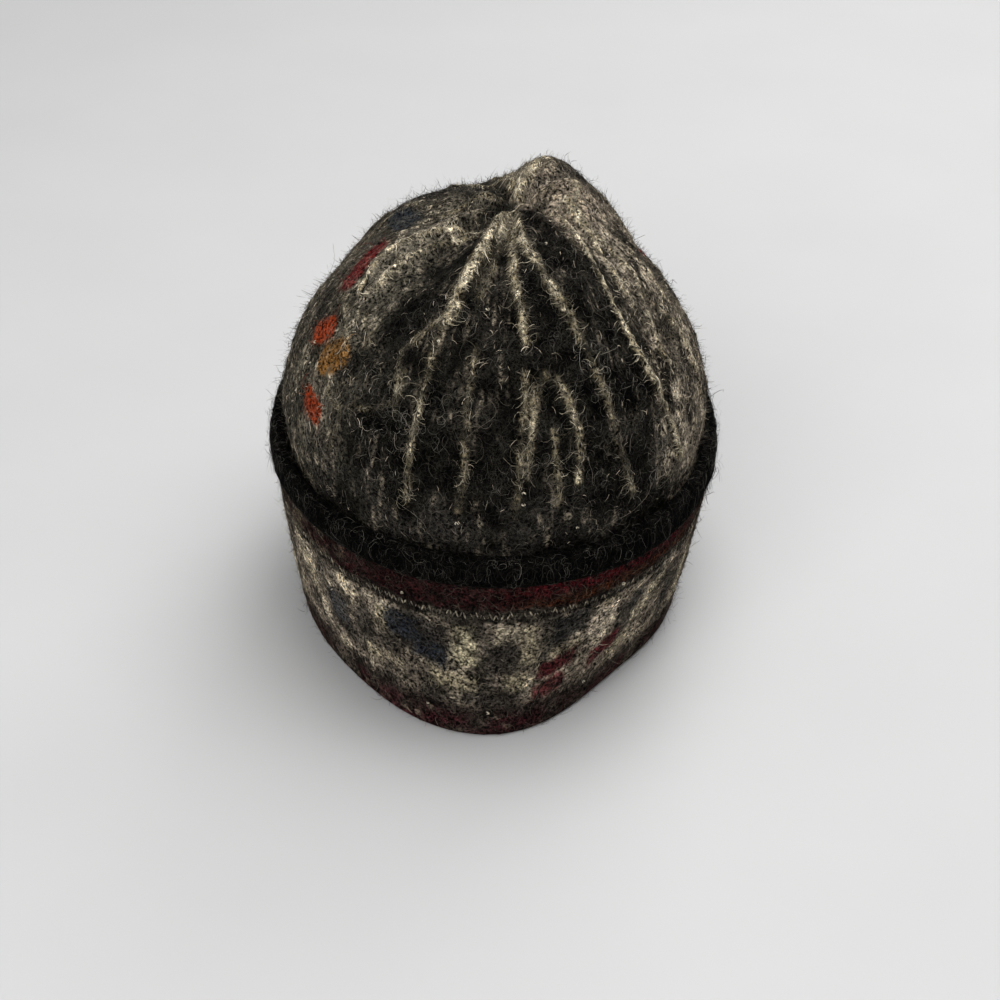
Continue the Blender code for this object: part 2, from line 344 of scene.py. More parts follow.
SIDE_SLUBS = (
    Slub(1.3, 0.95, ((334, 0.84), (325, 0.70), (320, 0.63), (317, 0.52), (319, 0.41), (322, 0.31),
                     (325, 0.20), (328, 0.10))),
    Slub(1.9, 1.00, ((321, 0.34), (323, 0.28))),
    Slub(1.9, 1.00, ((326, 0.15), (328, 0.09))),
    Slub(1.3, 0.95, ((345, 0.80), (340, 0.73), (332, 0.63), (328, 0.55), (328, 0.49))),
    Slub(1.4, 0.90, ((350, 0.82), (343, 0.73), (342, 0.62), (342, 0.55), (334, 0.47), (330, 0.36),
                     (332, 0.32))),
    Slub(1.6, 0.75, ((338, 0.50), (342, 0.41), (346, 0.35), (346, 0.25), (346, 0.16))),
    Slub(1.2, 1.00, ((245, 0.90), (206, 0.77), (197, 0.67), (195, 0.58), (200, 0.52), (203, 0.47))),
    Slub(1.7, 0.80, ((240, 0.88), (214, 0.78), (208, 0.68), (205, 0.59), (208, 0.52))),
    Slub(1.8, 0.55, ((199, 0.43), (206, 0.41), (212, 0.38), (216, 0.33))),
    Slub(2.0, 0.45, ((211, 0.44), (218, 0.43), (222, 0.40))),
    Slub(1.4, 0.50, ((213, 0.29), (216, 0.25), (222, 0.235), (234, 0.28), (241, 0.32),
                     (240, 0.385))),
    Slub(2.0, 0.35, ((206, 0.14), (211, 0.08))),
    Slub(2.0, 0.35, ((224, 0.20), (223, 0.11))),
    Slub(3.0, 0.60, ((30, 0.93), (8, 0.90), (357, 0.86))),
    Slub(2.6, 0.60, ((17, 0.84), (8, 0.79), (343, 0.79))),
    Slub(1.8, 0.50, ((141, 0.93), (151, 0.85), (165, 0.78), (172, 0.70))),
    Slub(2.5, 0.35, ((61, 0.84), (60, 0.70), (58, 0.58))),
    Slub(1.4, 0.80, ((356, 0.62), (352, 0.52), (350, 0.44), (353, 0.36))),
    Slub(1.6, 0.70, ((20, 0.60), (14, 0.48), (12, 0.36), (12, 0.24), (13, 0.12))),
    Slub(1.4, 0.60, ((38, 0.66), (34, 0.52), (30, 0.40), (29, 0.26), (30, 0.12))),
    Slub(1.8, 0.55, ((1, 0.42), (358, 0.30), (359, 0.20), (358, 0.10))),
    Slub(1.6, 0.50, ((44, 0.24), (42, 0.16), (42, 0.08))),
    Slub(1.6, 0.60, ((148, 0.62), (154, 0.50), (158, 0.38), (159, 0.26), (158, 0.12))),
    Slub(1.8, 0.50, ((140, 0.44), (142, 0.32), (141, 0.20), (143, 0.10))),
    Slub(1.5, 0.55, ((175, 0.36), (172, 0.26), (174, 0.14))),
)


def turned(slub, by):
    """The same slub, further round the hat."""
    return slub._replace(path=tuple((turn + by, rise) for turn, rise in slub.path))


SLUBS = BACK_SLUBS + SIDE_SLUBS + tuple(turned(slub, 180) for slub in BACK_SLUBS)
print(len(SLUBS), "slubs")


# %% How near a place is to a slub
def ring_radius(rises):
    """The crown's rough radius at a rise, in metres."""
    drawn_in = np.clip(np.cos(math.pi / 2 * np.maximum(rises, 0)), 0, 1) ** DOME_TAPER
    return np.maximum(LEAST_RADIUS, CROWN_RADIUS * drawn_in)


def near_path(turns, rises, path, width):
    """1 on a path over the crown, falling to 0 at about twice its half width in millimetres."""
    best = np.full(len(turns), 1e3)
    radius = ring_radius(rises)
    for (turn_a, rise_a), (turn_b, rise_b) in zip(path, path[1:]):
        reach = 30 + abs(turn_b - turn_a)
        close = np.nonzero(np.abs(around(turns, (turn_a + turn_b) / 2)) < reach)[0]
        first = np.stack([np.radians(around(turns[close], turn_a)) * radius[close],
                          (rises[close] - rise_a) * CROWN_ARC], -1)
        whole = np.stack([np.radians(around(turn_b, turn_a)) * radius[close],
                          np.full(len(close), (rise_b - rise_a) * CROWN_ARC)], -1)
        share = np.clip((first * whole).sum(1) / np.maximum((whole * whole).sum(1), 1e-12), 0, 1)
        away = np.linalg.norm(first - share[:, None] * whole, axis=1)
        best[close] = np.minimum(best[close], away)
    return np.exp(-((best / (width * MM)) ** 2) * 0.9)


def slub_strength(turns, rises):
    """How strongly the pale slubs show at each place on the crown."""
    strength = np.zeros(len(turns))
    for slub in SLUBS:
        near = near_path(turns, rises, slub.path, slub.width)
        strength = np.maximum(strength, slub.bright * near)
    return strength


def broken_yarn(places):
    """1 where a slub's yarn lies bright on the surface and 0 where it has sunk in."""
    sunk = wool_noise(places, 5.5 * MM, 10) + 0.5 * wool_noise(places, 2.8 * MM, 6)
    return ease(sunk, -0.6, 0.45)


print("At a slub's middle:", slub_strength(np.array([248.0]), np.array([0.64])).round(2)[0])

# %% [markdown]
# ## The crown's colours
# The crown is charcoal marl: black and grey fibres spun together. It shades into taupe on the
# right and at the hump by the gather, and into grey on the left. Small strips of crimson,
# orange, ochre and slate wool were knitted in. These are plain blocks of dyed yarn, so a table
# of short paths is enough for them. Between the ridges lie round dark pools, where the marl has
# hardly any grey in it and painted shade darkens the hollows further. A pool has a radius in
# millimetres and a share of black.

# %% Strips of dyed wool and dark pools of painted shade
Strip = namedtuple("Strip", "code width path")
STRIPS = (
    Strip("#5c1519", 6.2, ((186, 0.537), (190, 0.505), (193, 0.467))),
    Strip("#793116", 4.7, ((198.6, 0.320), (202.4, 0.352))),
    Strip("#674a26", 6.0, ((209.6, 0.300), (213.0, 0.335))),
    Strip("#763016", 3.9, ((208.2, 0.199), (211, 0.19), (214.4, 0.182))),
    Strip("#272b30", 6.4, ((157, 0.56), (166, 0.61))),
    Strip("#5c1519", 4.6, ((36, 0.345), (41, 0.375), (45, 0.415))),
    Strip("#793116", 4.7, ((48.4, 0.258), (52, 0.288))),
    Strip("#6b4a23", 6.0, ((57, 0.19), (60, 0.215))),
    Strip("#272b30", 6.0, ((60, 0.50), (66, 0.56))),
)
# Each dark pool paints shade into a hollow between the ridges, over marl with hardly any grey.
ShadePool = namedtuple("ShadePool", "turn rise radius share")
SHADE_POOLS = tuple(ShadePool(*row) for row in (
    (226, 0.66, 15, 0.95), (224, 0.36, 9, 0.85), (254, 0.40, 6, 0.7), (270, 0.28, 6, 0.7),
    (267, 0.14, 8, 0.7), (298, 0.74, 10, 0.9), (252, 0.16, 7, 0.5), (286, 0.56, 6, 0.7),
    (312, 0.42, 8, 0.6), (186, 0.36, 9, 0.6), (46, 0.66, 14, 0.9), (44, 0.36, 9, 0.8),
    (118, 0.74, 10, 0.9), (87, 0.14, 8, 0.7), (335, 0.90, 6, 0.8), (208, 0.93, 7, 0.9),
    (226, 0.80, 9, 0.9), (254, 0.56, 5, 0.7), (290, 0.62, 6, 0.6), (338, 0.36, 6, 0.6),
))


def in_shade_pool(turns, rises, pool):
    """1 in the middle of a round dark pool of painted shade, falling softly to 0."""
    across = np.radians(around(turns, pool.turn)) * ring_radius(rises)
    away = np.hypot(across, (rises - pool.rise) * CROWN_ARC) / (pool.radius * MM)
    return np.exp(-away * away)


def knit_columns(turns, rises):
    """Above 0 on the raised columns of the knitting and below 0 between them."""
    return streaks(turns, rises, 4.2 * MM, 60 * MM, 30)


def crown_colours(turns, rises, places):
    """The wool's colour at places on the crown, as linear values, with painted shade in its dark
    pools.
    """
    patchy = wool_noise(places, 11 * MM, 3) + 0.5 * wool_noise(places, 5 * MM, 9)
    fine = streaks(turns, rises, 1.6 * MM, 7 * MM, 4)
    wavy = turns + 12 * wool_noise(places, 17 * MM, 19)
    gaps = wool_noise(places, 6.5 * MM, 20) + 0.4 * wool_noise(places, 3 * MM, 9)
    gaps = ease(gaps, -0.65, 0.15)
    gaps = gaps * (0.25 + 0.75 * ease(knit_columns(turns, rises), -0.45, 0.3))
    high = ease(rises + 0.05 * patchy, 0.62, 0.78)
    low = 1 - ease(rises, 0.08, 0.22)
    left = sector(wavy, 184, 40, 24) * (0.65 + 0.45 * patchy) * (0.35 + 0.65 * gaps)
    right = sector(wavy, 6, 42, 24) * (0.62 + 0.5 * patchy) * (0.15 + 0.85 * gaps)
    palest = sector(wavy, 340, 16, 14) * (0.62 + 0.5 * patchy) * gaps
    hump = sector(wavy, 25, 72, 30) * high * (0.8 + 0.4 * patchy) * (0.3 + 0.7 * gaps)
    front = sector(wavy, 96, 56, 40) * (0.4 + 0.5 * patchy) * (0.3 + 0.7 * gaps)
    colours = dyed(
        plain("#050504", len(turns)),
        ("#2e2b27", ease(patchy, -0.1, 1.1) * 0.55),
        ("#6c675b", left), ("#746b5f", right), ("#c4b8a5", palest), ("#85796b", hump),
        ("#363330", low * 0.35 * ease(patchy, -0.4, 0.8)), ("#514d45", front),
        ("#958b7b", 0.34 * ease(fine, 0.15, 0.85) * ease(patchy, -0.5, 0.7)),
        ("#080807", 0.6 * ease(-fine, 0.15, 0.8)))
    grain = wool_noise(places, 1.9 * MM, 18)
    heather = ease(colours.mean(axis=1), 0.02, 0.07)
    colours = dyed(
        colours,
        ("#12100e", 0.8 * heather * ease(-grain, 0.05, 0.7)),
        ("#b3a793", 0.55 * heather * ease(grain, 0.15, 0.75)),
        # The pools' near-black is painted shade in the hollows between the ridges.
        *(("#070706", pool.share * in_shade_pool(turns, rises, pool)) for pool in SHADE_POOLS))
    clump = ease(wool_noise(places, 2.8 * MM, 6), -0.15, 0.45)
    slub = slub_strength(turns, rises) * (1 + 0.4 * wool_noise(places, 1.5 * MM, 7))
    broken = 0.2 + 0.8 * np.maximum(broken_yarn(places), ease(slub, 0.72, 0.95))
    colours = dyed(
        colours,
        ("#827862", ease(slub, 0.14, 0.9) * broken),
        ("#d6cbb3", ease(slub, 0.46, 0.9) * clump * broken))
    for strip in STRIPS:
        ragged = near_path(turns, rises, strip.path, strip.width)
        ragged = ragged + 0.14 * wool_noise(places, 1.8 * MM, 8)
        colours = dye(colours, strip.code, ease(ragged, 0.34, 0.52) * (0.85 + 0.3 * fine))
    return colours


print(len(STRIPS), "strips of dyed wool and", len(SHADE_POOLS), "dark pools")


# %% [markdown]
# ## The crown's relief
# Pale slubs are thicker than the ground and stand up as ridges. Between them the knitting's
# columns still show, and the fulled fabric is lumpy at three sizes. Round the gather it closes up
# in sharp creases. A few broad lifts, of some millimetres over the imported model, finish the hump
# and the shoulders. A lift is as wide as its degrees say and as tall as its share of the rise.

# %% The crown's relief
CREASES = 17
Lift = namedtuple("Lift", "turn rise height wide tall")
LIFTS = (
    Lift(12, 0.83, 4.5, 26, 0.09), Lift(4, 0.64, -3.0, 24, 0.09), Lift(94, 0.66, -3.4, 22, 0.11),
    Lift(80, 0.76, -2.2, 12, 0.07), Lift(20, 0.41, -4.4, 20, 0.085),
)


def crown_relief(turns, rises, places):
    """How far the wool stands off the crown's skin, worked out in mm and given in metres."""
    lumps = 0.45 * wool_noise(places, 8 * MM, 11) + 0.28 * wool_noise(places, 3.6 * MM, 12)
    lumps += 0.16 * wool_noise(places, 1.7 * MM, 13)
    ribs = 0.22 * streaks(turns, rises, 2.6 * MM, 22 * MM, 14) + 0.45 * knit_columns(turns, rises)
    slub = slub_strength(turns, rises) * (1 + 0.35 * wool_noise(places, 3.4 * MM, 6))
    from_gather = np.hypot(places[:, 0] - TOP_SHIFT, places[:, 1])
    bent = np.radians(turns) + 0.10 * wool_noise(places, 14 * MM, 15)
    crease = np.exp(-((np.abs(np.sin(CREASES * bent / 2)) / 0.33) ** 2))
    crease *= ease(from_gather, 1.5 * MM, 6 * MM) * (1 - ease(from_gather, 14 * MM, 44 * MM))
    hollow = sum(pool.share * in_shade_pool(turns, rises, pool) for pool in SHADE_POOLS)
    broad = sum(lift.height * np.exp(-((around(turns, lift.turn) / lift.wide) ** 2)
                                     - ((rises - lift.rise) / lift.tall) ** 2) for lift in LIFTS)
    relief = lumps + ribs + 1.15 * slub - 1.9 * crease - 1.2 * hollow + broad
    return relief * MM * ease(rises, -0.02, 0.06)


def fluffy_crown(turns, rises):
    """Places on the crown with its relief, and the way out."""
    places, outward = crown_skin(turns, rises)
    return places + outward * crown_relief(turns, rises, places)[:, None], outward


print("Creases at the gather:", CREASES)


# %% [markdown]
# ## Turning rows of points into cloth
# A skin is a stack of rings of points. Low on the dome a ring needs 560 points for a spacing of
# a millimetre, but near the gather far fewer will do, so a ring may have half as many points as
# the one below it. The wool's colours are kept with the points, as a colour attribute.

# %% Skins from rings of points
def strip_faces(first, count, second, other):
    """Faces between two rings. The finer ring's extra points go into the coarser ring's faces."""
    if count < other:
        return [face[::-1] for face in strip_faces(second, other, first, count)]
    if other == 1:
        return [[first + spot, first + (spot + 1) % count, second] for spot in range(count)]
    step = count // other
    faces = []
    for spot in range(other):
        fine = [first + (spot * step + extra) % count for extra in range(step + 1)]
        faces.append(fine + [second + (spot + 1) % other, second + spot])
    return faces


def link_mesh(name, points, faces, colours, recalculate=False):
    """A piece from points and faces, with a linear colour kept at each point."""
    mesh = bpy.data.meshes.new(name)
    mesh.from_pydata(points.tolist(), [], faces)
    if recalculate:
        bm = bmesh.new()
        bm.from_mesh(mesh)
        bmesh.ops.recalc_face_normals(bm, faces=bm.faces)
        bm.to_mesh(mesh)
        bm.free()
    mesh.shade_smooth()
    layer = mesh.color_attributes.new("wool_colour", "FLOAT_COLOR", "POINT")
    layer.data.foreach_set("color", np.column_stack([colours, np.ones(len(colours))]).ravel())
    piece = bpy.data.objects.new(name, mesh)
    bpy.context.scene.collection.objects.link(piece)
    print(name, "has", sum(len(face) - 2 for face in faces), "triangles")
    return piece


def make_skin(name, rings, colours, closed=False):
    """A mesh over rings of points. closed joins the last ring to the first."""
    starts = np.cumsum([0] + [len(ring) for ring in rings]).tolist()
    pairs = [(index, index + 1) for index in range(len(rings) - 1)]
    if closed:
        pairs.append((len(rings) - 1, 0))
    faces = []
    for upper, lower in pairs:
        faces += strip_faces(starts[upper], len(rings[upper]), starts[lower], len(rings[lower]))
    return link_mesh(name, np.concatenate(rings), faces, np.concatenate(colours), recalculate=True)


def ring_turns(count):
    """The turns of count points spread evenly round the hat."""
    return np.arange(count) * 360 / count


# %% The crown's skin
def crown_ring(count, rise, inset):
    """A ring of points on the crown and their colours. An inset ring lies on the inner face."""
    turns = ring_turns(count)
    rises = np.full(count, float(rise))
    if inset:
        places, outward = crown_skin(turns, rises, PLEAT_INSIDE)
        lumps = 0.2 * MM * wool_noise(places, 4 * MM, 16) * ease(rises, 0, 0.1)
        places = places - outward * (inset + lumps[:, None])
        greyer = 0.5 + 0.5 * wool_noise(places, 5 * MM, 17)
        return places, dye(plain("#24211d", count), "#5d574c", greyer)
    places, outward = crown_skin(turns, rises)
    colours = crown_colours(turns, rises, places)
    return places + outward * crown_relief(turns, rises, places)[:, None], colours


crown_bottom = (FOLD_HEIGHT + FIT_GAP) / CUFF_HEIGHT - 1
Band = namedtuple("Band", "points first last rings inset")
CROWN_BANDS = (
    Band(1, 1.0, 1.0, 1, 0), Band(140, 0.992, 0.885, 19, 0), Band(280, 0.878, 0.615, 44, 0),
    Band(560, 0.609, -0.05, 96, 0), Band(140, -0.16, crown_bottom, 7, 0),
    Band(140, crown_bottom, 0.0, 10, CROWN_WALL), Band(140, 0.025, 0.96, 36, CROWN_WALL),
    Band(1, 1.0, 1.0, 1, CROWN_WALL),
)
made = [crown_ring(band.points, rise, band.inset) for band in CROWN_BANDS
        for rise in np.linspace(band.first, band.last, band.rings)]
crown = make_skin("crown_wool", *zip(*made))

# %% [markdown]
# ## The turned-up cuff
# The cuff is the same tube of knitting, folded up outside the crown. Its section goes up the
# outer face, over the top, down the inner face, and round the bottom fold. The pattern is in
# height bands: maroon under the black edge, one row of pale stitches, a band of soft blocks in
# beige, charcoal, slate and crimson, and a dark maroon hem. A block has the height of its middle
# over the ground and its width and height, all in millimetres, and it leans by some degrees.

# %% The table of colour blocks on the cuff
Block = namedtuple("Block", "code turn height wide tall lean share")
BLOCKS = tuple(Block(*row) for row in (
    ("#8c826d", 206, 53, 6, 15, 0, 0.8), ("#35322c", 211, 47, 4, 14, 0, 0.7),
    ("#8c826d", 212, 40, 6, 16, 10, 0.8), ("#8a806e", 217, 27, 8, 13, 15, 0.8),
    ("#2f2c28", 219, 45, 6, 13, 10, 0.75), ("#25282c", 225, 35, 12, 14, 10, 0.75),
    ("#948974", 231, 50, 10, 9, 10, 0.85), ("#857c66", 238, 24, 9, 6, 15, 0.7),
    ("#827963", 242, 46, 6, 12, 0, 0.7), ("#867c68", 245, 26, 10, 6, 10, 0.75),
    ("#23211f", 254, 43, 21, 19, 12, 0.85), ("#1f2328", 248, 46, 15, 12, 10, 0.88),
    ("#1d2126", 256, 38, 14, 10, 10, 0.88), ("#8a826a", 265, 44, 9, 18, 0, 0.85),
    ("#26241f", 267, 51, 6, 6, 0, 0.8), ("#857c69", 276, 49, 12, 8, 0, 0.8),
    ("#2b2824", 274, 37, 13, 12, 0, 0.85), ("#837a64", 281, 43, 6, 18, 0, 0.8),
    ("#1c1c1c", 292, 49, 16, 13, -12, 0.9), ("#7c735e", 291, 37, 14, 4, -12, 0.7),
    ("#8a806f", 302, 45, 15, 13, -15, 0.85), ("#3f1116", 289, 30, 17, 8, -14, 0.92),
    ("#46151b", 287, 20, 15, 8, -16, 0.88), ("#411218", 305, 27, 17, 8, -16, 0.9),
    ("#7e755f", 262, 26, 20, 7, 6, 0.85), ("#827962", 278, 26, 9, 9, -6, 0.8),
    ("#2a2623", 272, 20, 24, 4, 0, 0.75), ("#968d7b", 326, 57, 10, 5, -10, 0.8),
    ("#2a2927", 314, 46, 8, 9, -12, 0.85), ("#938a74", 322, 46, 10, 8, -14, 0.85),
    ("#8a806a", 303, 54, 10, 5, -12, 0.7), ("#938a74", 318, 35, 12, 8, -14, 0.85),
    ("#383630", 332, 27, 7, 22, 0, 0.75), ("#918973", 342, 29, 7, 24, 0, 0.8),
    ("#34312d", 349, 36, 7, 20, 0, 0.7), ("#7f7660", 312, 22, 14, 6, -20, 0.7),
))


def placed_blocks():
    """The back's blocks, and copies of them for the front."""
    copies = list(BLOCKS)
    for block in BLOCKS:
        ahead = block._replace(turn=block.turn + 150)
        behind = block._replace(turn=block.turn - 150)
        if 354 < ahead.turn < 500:
            copies.append(ahead)
        if 140 < behind.turn < 202:
            copies.append(behind)
    return copies


print(len(BLOCKS), "blocks at the back,", len(placed_blocks()), "in all")


# %% The cuff's colours
COOLER = np.array([0.98, 1.0, 1.07])


def in_block(turns, heights, places, block):
    """1 inside a leaning block, with a ragged edge that follows the stitches."""
    across = np.radians(around(turns, block.turn)) * CUFF_RADIUS
    upward = heights - block.height * MM + across * math.tan(math.radians(block.lean))
    ragged = 1.1 * wool_noise(places, 2.6 * MM, 21) + 0.6 * wool_noise(places, 1.2 * MM, 22)
    ragged = ragged * MM
    inside = np.maximum(np.abs(across) - block.wide / 2 * MM, np.abs(upward) - block.tall / 2 * MM)
    return 1 - ease(inside + ragged, -1.2 * MM, 1.2 * MM)


def cuff_colours(turns, heights, places):
    """The wool's colour on the cuff's outer face. Its bands are set by heights in mm."""
    patchy = wool_noise(places, 9 * MM, 23)
    grain = wool_noise(places * np.array([1, 1, 1.3]), 2.2 * MM, 28)
    grain = grain + 0.6 * wool_noise(places, 1.1 * MM, 29)
    colours = dyed(
        plain("#5e564a", len(turns)),
        ("#2c2924", 0.8 * ease(patchy, -0.1, 0.6)), ("#948a76", 0.7 * ease(-patchy, 0.2, 0.8)),
        *((block.code, block.share * in_block(turns, heights, places, block))
          for block in placed_blocks()))
    brighter = 1 + 0.72 * sector(turns, 325, 34, 34) + 0.75 * sector(turns, 214, 26, 30)
    wavy = 1.3 * wool_noise(places, 7 * MM, 24) + 0.7 * wool_noise(places, 2 * MM, 25)
    wavy = heights / MM + wavy
    hem = 1 - ease(wavy, 12, 19)
    stripe = ease(wavy, 59.5, 61.5)
    right = sector(turns, 318, 38, 24)
    left = sector(turns, 207, 22, 16)
    worn = ease(wool_noise(places, 3 * MM, 27), -0.2, 0.6)
    colours = dyed(
        colours * brighter[:, None],
        ("#231a18", hem * 0.85),
        ("#3a191d", (1 - ease(wavy, 6, 13)) * ease(patchy, -0.4, 0.5) * 0.7),
        ("#6f6757", hem * ease(wool_noise(places, 5 * MM, 26), 0.4, 0.8) * 0.6),
        ("#12100e", ease(wavy, 54.2, 56.2) * 0.85),
        ("#230e0e", stripe * 0.95),
        ("#3c2316", stripe * right * (1 - ease(wavy, 64, 67)) * 0.85),
        ("#431115", ease(wavy, 65.5, 68) * right * 0.85),
        ("#6d6352", stripe * left * worn * 0.7),
        ("#080706", 0.8 * ease(-grain, 0.0, 0.75)))
    return colours * (1 + 0.8 * ease(grain, 0.15, 0.9))[:, None] * COOLER


print("Cuff colour at the back's middle:", cuff_colours(
    np.array([270.0]), np.array([0.03]), np.array([[0.0, -0.1, 0.03]])).round(3)[0])


# %% The cuff's section and skin
def cuff_skin(turns, heights, offsets):
    """Places at heights and offsets from the crown's outer face, and the way out."""
    places, outward = crown_skin(turns, np.minimum(0, heights / CUFF_HEIGHT - 1))
    lean = np.where(offsets > 0, CUFF_STANDOFF * (heights / CUFF_HEIGHT) ** 2, 0)
    places = places + outward * (offsets + lean)[:, None]
    places[:, 2] = heights
    return places, outward


def cuff_relief(places, heights):
    """Low lumps on the cuff's outer face, none at the ground."""
    lumps = 0.42 * wool_noise(places, 9 * MM, 31) + 0.26 * wool_noise(places, 3.8 * MM, 32)
    lumps += 0.15 * wool_noise(places, 1.7 * MM, 33)
    return lumps * MM * ease(heights, 0.5 * MM, 5 * MM)


def fluffy_cuff(turns, heights):
    """Places on the cuff's outer face with its relief, and the way out."""
    places, outward = cuff_skin(turns, heights, np.full(len(turns), CUFF_OUTER))
    return places + outward * cuff_relief(places, heights)[:, None], outward


cuff_top = CUFF_HEIGHT - EDGE_HEIGHT - FIT_GAP
cuff_corner = (CUFF_OUTER + CROWN_WALL - FOLD_FLAT) / 2
print("The cuff's corner radius, in mm:", round(cuff_corner / MM, 2))


# %% Build the cuff
def cuff_ring(count, offset, height, outside):
    """A ring of points on the cuff and their colours."""
    turns = ring_turns(count)
    heights = np.full(count, float(height))
    places, outward = cuff_skin(turns, heights, np.full(count, float(offset)))
    colours = cuff_colours(turns, heights, places)
    if not outside:
        return places, dye(colours, "#2a2622", np.full(count, 0.7))
    return places + outward * cuff_relief(places, heights)[:, None], colours


def arc(offset, height, first, last, steps):
    """Points of a corner of the section, as offsets and heights."""
    angles = np.radians(np.linspace(first, last, steps))
    return [(offset + cuff_corner * math.cos(angle), height + cuff_corner * math.sin(angle))
            for angle in angles]


outer_corner = arc(CUFF_OUTER - cuff_corner, cuff_corner, -15, -90, 4)
inner_corner = arc(cuff_corner - CROWN_WALL, cuff_corner, -90, -180, 4)
section = [(600, CUFF_OUTER, height, True) for height in np.linspace(cuff_top, cuff_corner, 72)]
section += [(600, *spot, True) for spot in outer_corner]
section += [(300, *spot, False) for spot in inner_corner]
section += [(150, -CROWN_WALL, FOLD_HEIGHT, False), (150, FIT_GAP, FOLD_HEIGHT, False)]
section += [(150, FIT_GAP, height, False) for height in np.linspace(14 * MM, cuff_top, 9)]
section += [(300, CUFF_OUTER - 1.2 * MM, cuff_top, False)]
made = [cuff_ring(*ring) for ring in section]
cuff = make_skin("cuff_wool", *zip(*made), closed=True)

# %% [markdown]
# ## The black edge
# The knitting ends in a thick rolled edge of black wool. Its section is a rounded oblong, and
# fulling has left it lumpier than the rest.

# %% Build the rolled edge
def edge_skin(turns, angles):
    """Places round the edge's section, where angle 0 is outside and 90 degrees is on top."""
    across = np.copysign(np.abs(np.cos(angles)) ** EDGE_SQUARENESS, np.cos(angles))
    upward = np.copysign(np.abs(np.sin(angles)) ** EDGE_SQUARENESS, np.sin(angles))
    offsets = FIT_GAP + EDGE_THICKNESS / 2 * (1 + across)
    heights = CUFF_HEIGHT - EDGE_HEIGHT / 2 * (1 - upward)
    places, outward = cuff_skin(turns, np.minimum(heights, CUFF_HEIGHT), offsets)
    away = outward * np.cos(angles)[:, None]
    away[:, 2] += np.sin(angles)
    return places, unit(away)


def fluffy_edge(turns, angles):
    """Places on the edge with its lumps, none where it faces the crown and fewer where it rests on
    the cuff.
    """
    places, away = edge_skin(turns, angles)
    lumps = 0.55 * wool_noise(places, 7 * MM, 41) + 0.35 * wool_noise(places, 3 * MM, 42)
    lumps += 0.2 * wool_noise(places, 1.6 * MM, 43)
    outside = ease(np.cos(angles), -0.5, 0.4) * (0.35 + 0.65 * ease(np.sin(angles), -0.95, -0.3))
    return places + away * (lumps * MM * outside)[:, None], away


def edge_colours(places):
    """Nearly black wool with a little grey in it."""
    greyer = ease(wool_noise(places, 4 * MM, 44), 0.2, 0.9) * 0.4
    return dye(plain("#070706", len(places)), "#1d1b19", greyer)


EDGE_POINTS = 520
edge_angles = np.linspace(0, math.tau, 38, endpoint=False)
made = [fluffy_edge(ring_turns(EDGE_POINTS), np.full(EDGE_POINTS, angle))[0]
        for angle in edge_angles]
edge = make_skin("edge_wool", made, [edge_colours(ring) for ring in made], closed=True)

# %% [markdown]
# ## Threads: the tool for stitches, slubs and hairs
# Every loose or raised piece of yarn is a row of points with a width, which is a thread. A thick
# one is skinned as a small closed tube, because it has a round side that catches light. A thin
# one is a flat ribbon, which looks the same and takes a quarter of the triangles.

# %% Skin threads
def tubes(name, spines, outward, widths, colours, flat=0.75, sides=5):
    """Closed tubes along rows of points. widths is in metres, one for each point."""
    count, steps, _ = spines.shape
    along = unit(np.gradient(spines, axis=1))
    across = unit(np.cross(outward, along))
    above = np.cross(along, across) * flat
    angles = math.tau * np.arange(sides) / sides
    away = across[:, :, None] * np.cos(angles)[:, None]
    away = away + above[:, :, None] * np.sin(angles)[:, None]
    points = (spines[:, :, None] + away * (widths / 2)[:, :, None, None]).reshape(-1, 3)
    start = np.arange(count)[:, None, None] * steps * sides
    low = start + np.arange(steps - 1)[:, None] * sides + np.arange(sides)
    beside = start + np.arange(steps - 1)[:, None] * sides + (np.arange(sides) + 1) % sides
    faces = np.stack([low, beside, beside + sides, low + sides], -1).reshape(-1, 4).tolist()
    caps = (np.arange(count) * steps * sides)[:, None] + np.arange(sides)
    faces += caps[:, ::-1].tolist() + (caps + (steps - 1) * sides).tolist()
    return link_mesh(name, points, faces, np.repeat(colours, steps * sides, axis=0))


def ribbons(name, spines, across, widths, colours):
    """Flat ribbons along rows of points. across points over each ribbon."""
    count, steps, _ = spines.shape
    taper = np.sin(math.pi * np.linspace(0.12, 0.92, steps)) ** 0.6
    half = across * (widths[:, None] * taper / 2)[..., None]
    points = np.stack([spines - half, spines + half], 2).reshape(-1, 3)
    first = np.arange(count)[:, None] * steps * 2 + np.arange(steps - 1) * 2
    faces = np.stack([first, first + 1, first + 3, first + 2], -1).reshape(-1, 4).tolist()
    return link_mesh(name, points, faces, np.repeat(colours, steps * 2, axis=0))


def both_ends(share):
    """A thread's width along it: thin at both ends and full in the middle."""
    return np.sin(math.pi * (0.07 + 0.86 * share)) ** 0.8


print("A tube of 5 points on 5 sides has", 4 * 5 * 2 + 2 * 3, "triangles")

# %% [markdown]
# ## The row of pale stitches
# One row of pale yarn under the maroon stripe still shows as knitting. A knit stitch seen from
# outside is a V of two leaf-shaped legs, and these stitches are 2.6 mm wide. Fulling has buried
# some of them, so each leg has its own depth and brightness.

# %% Pale stitches
STITCH_PITCH = 2.6 * MM
STITCH_COUNT = round(math.tau * CUFF_RADIUS / STITCH_PITCH)


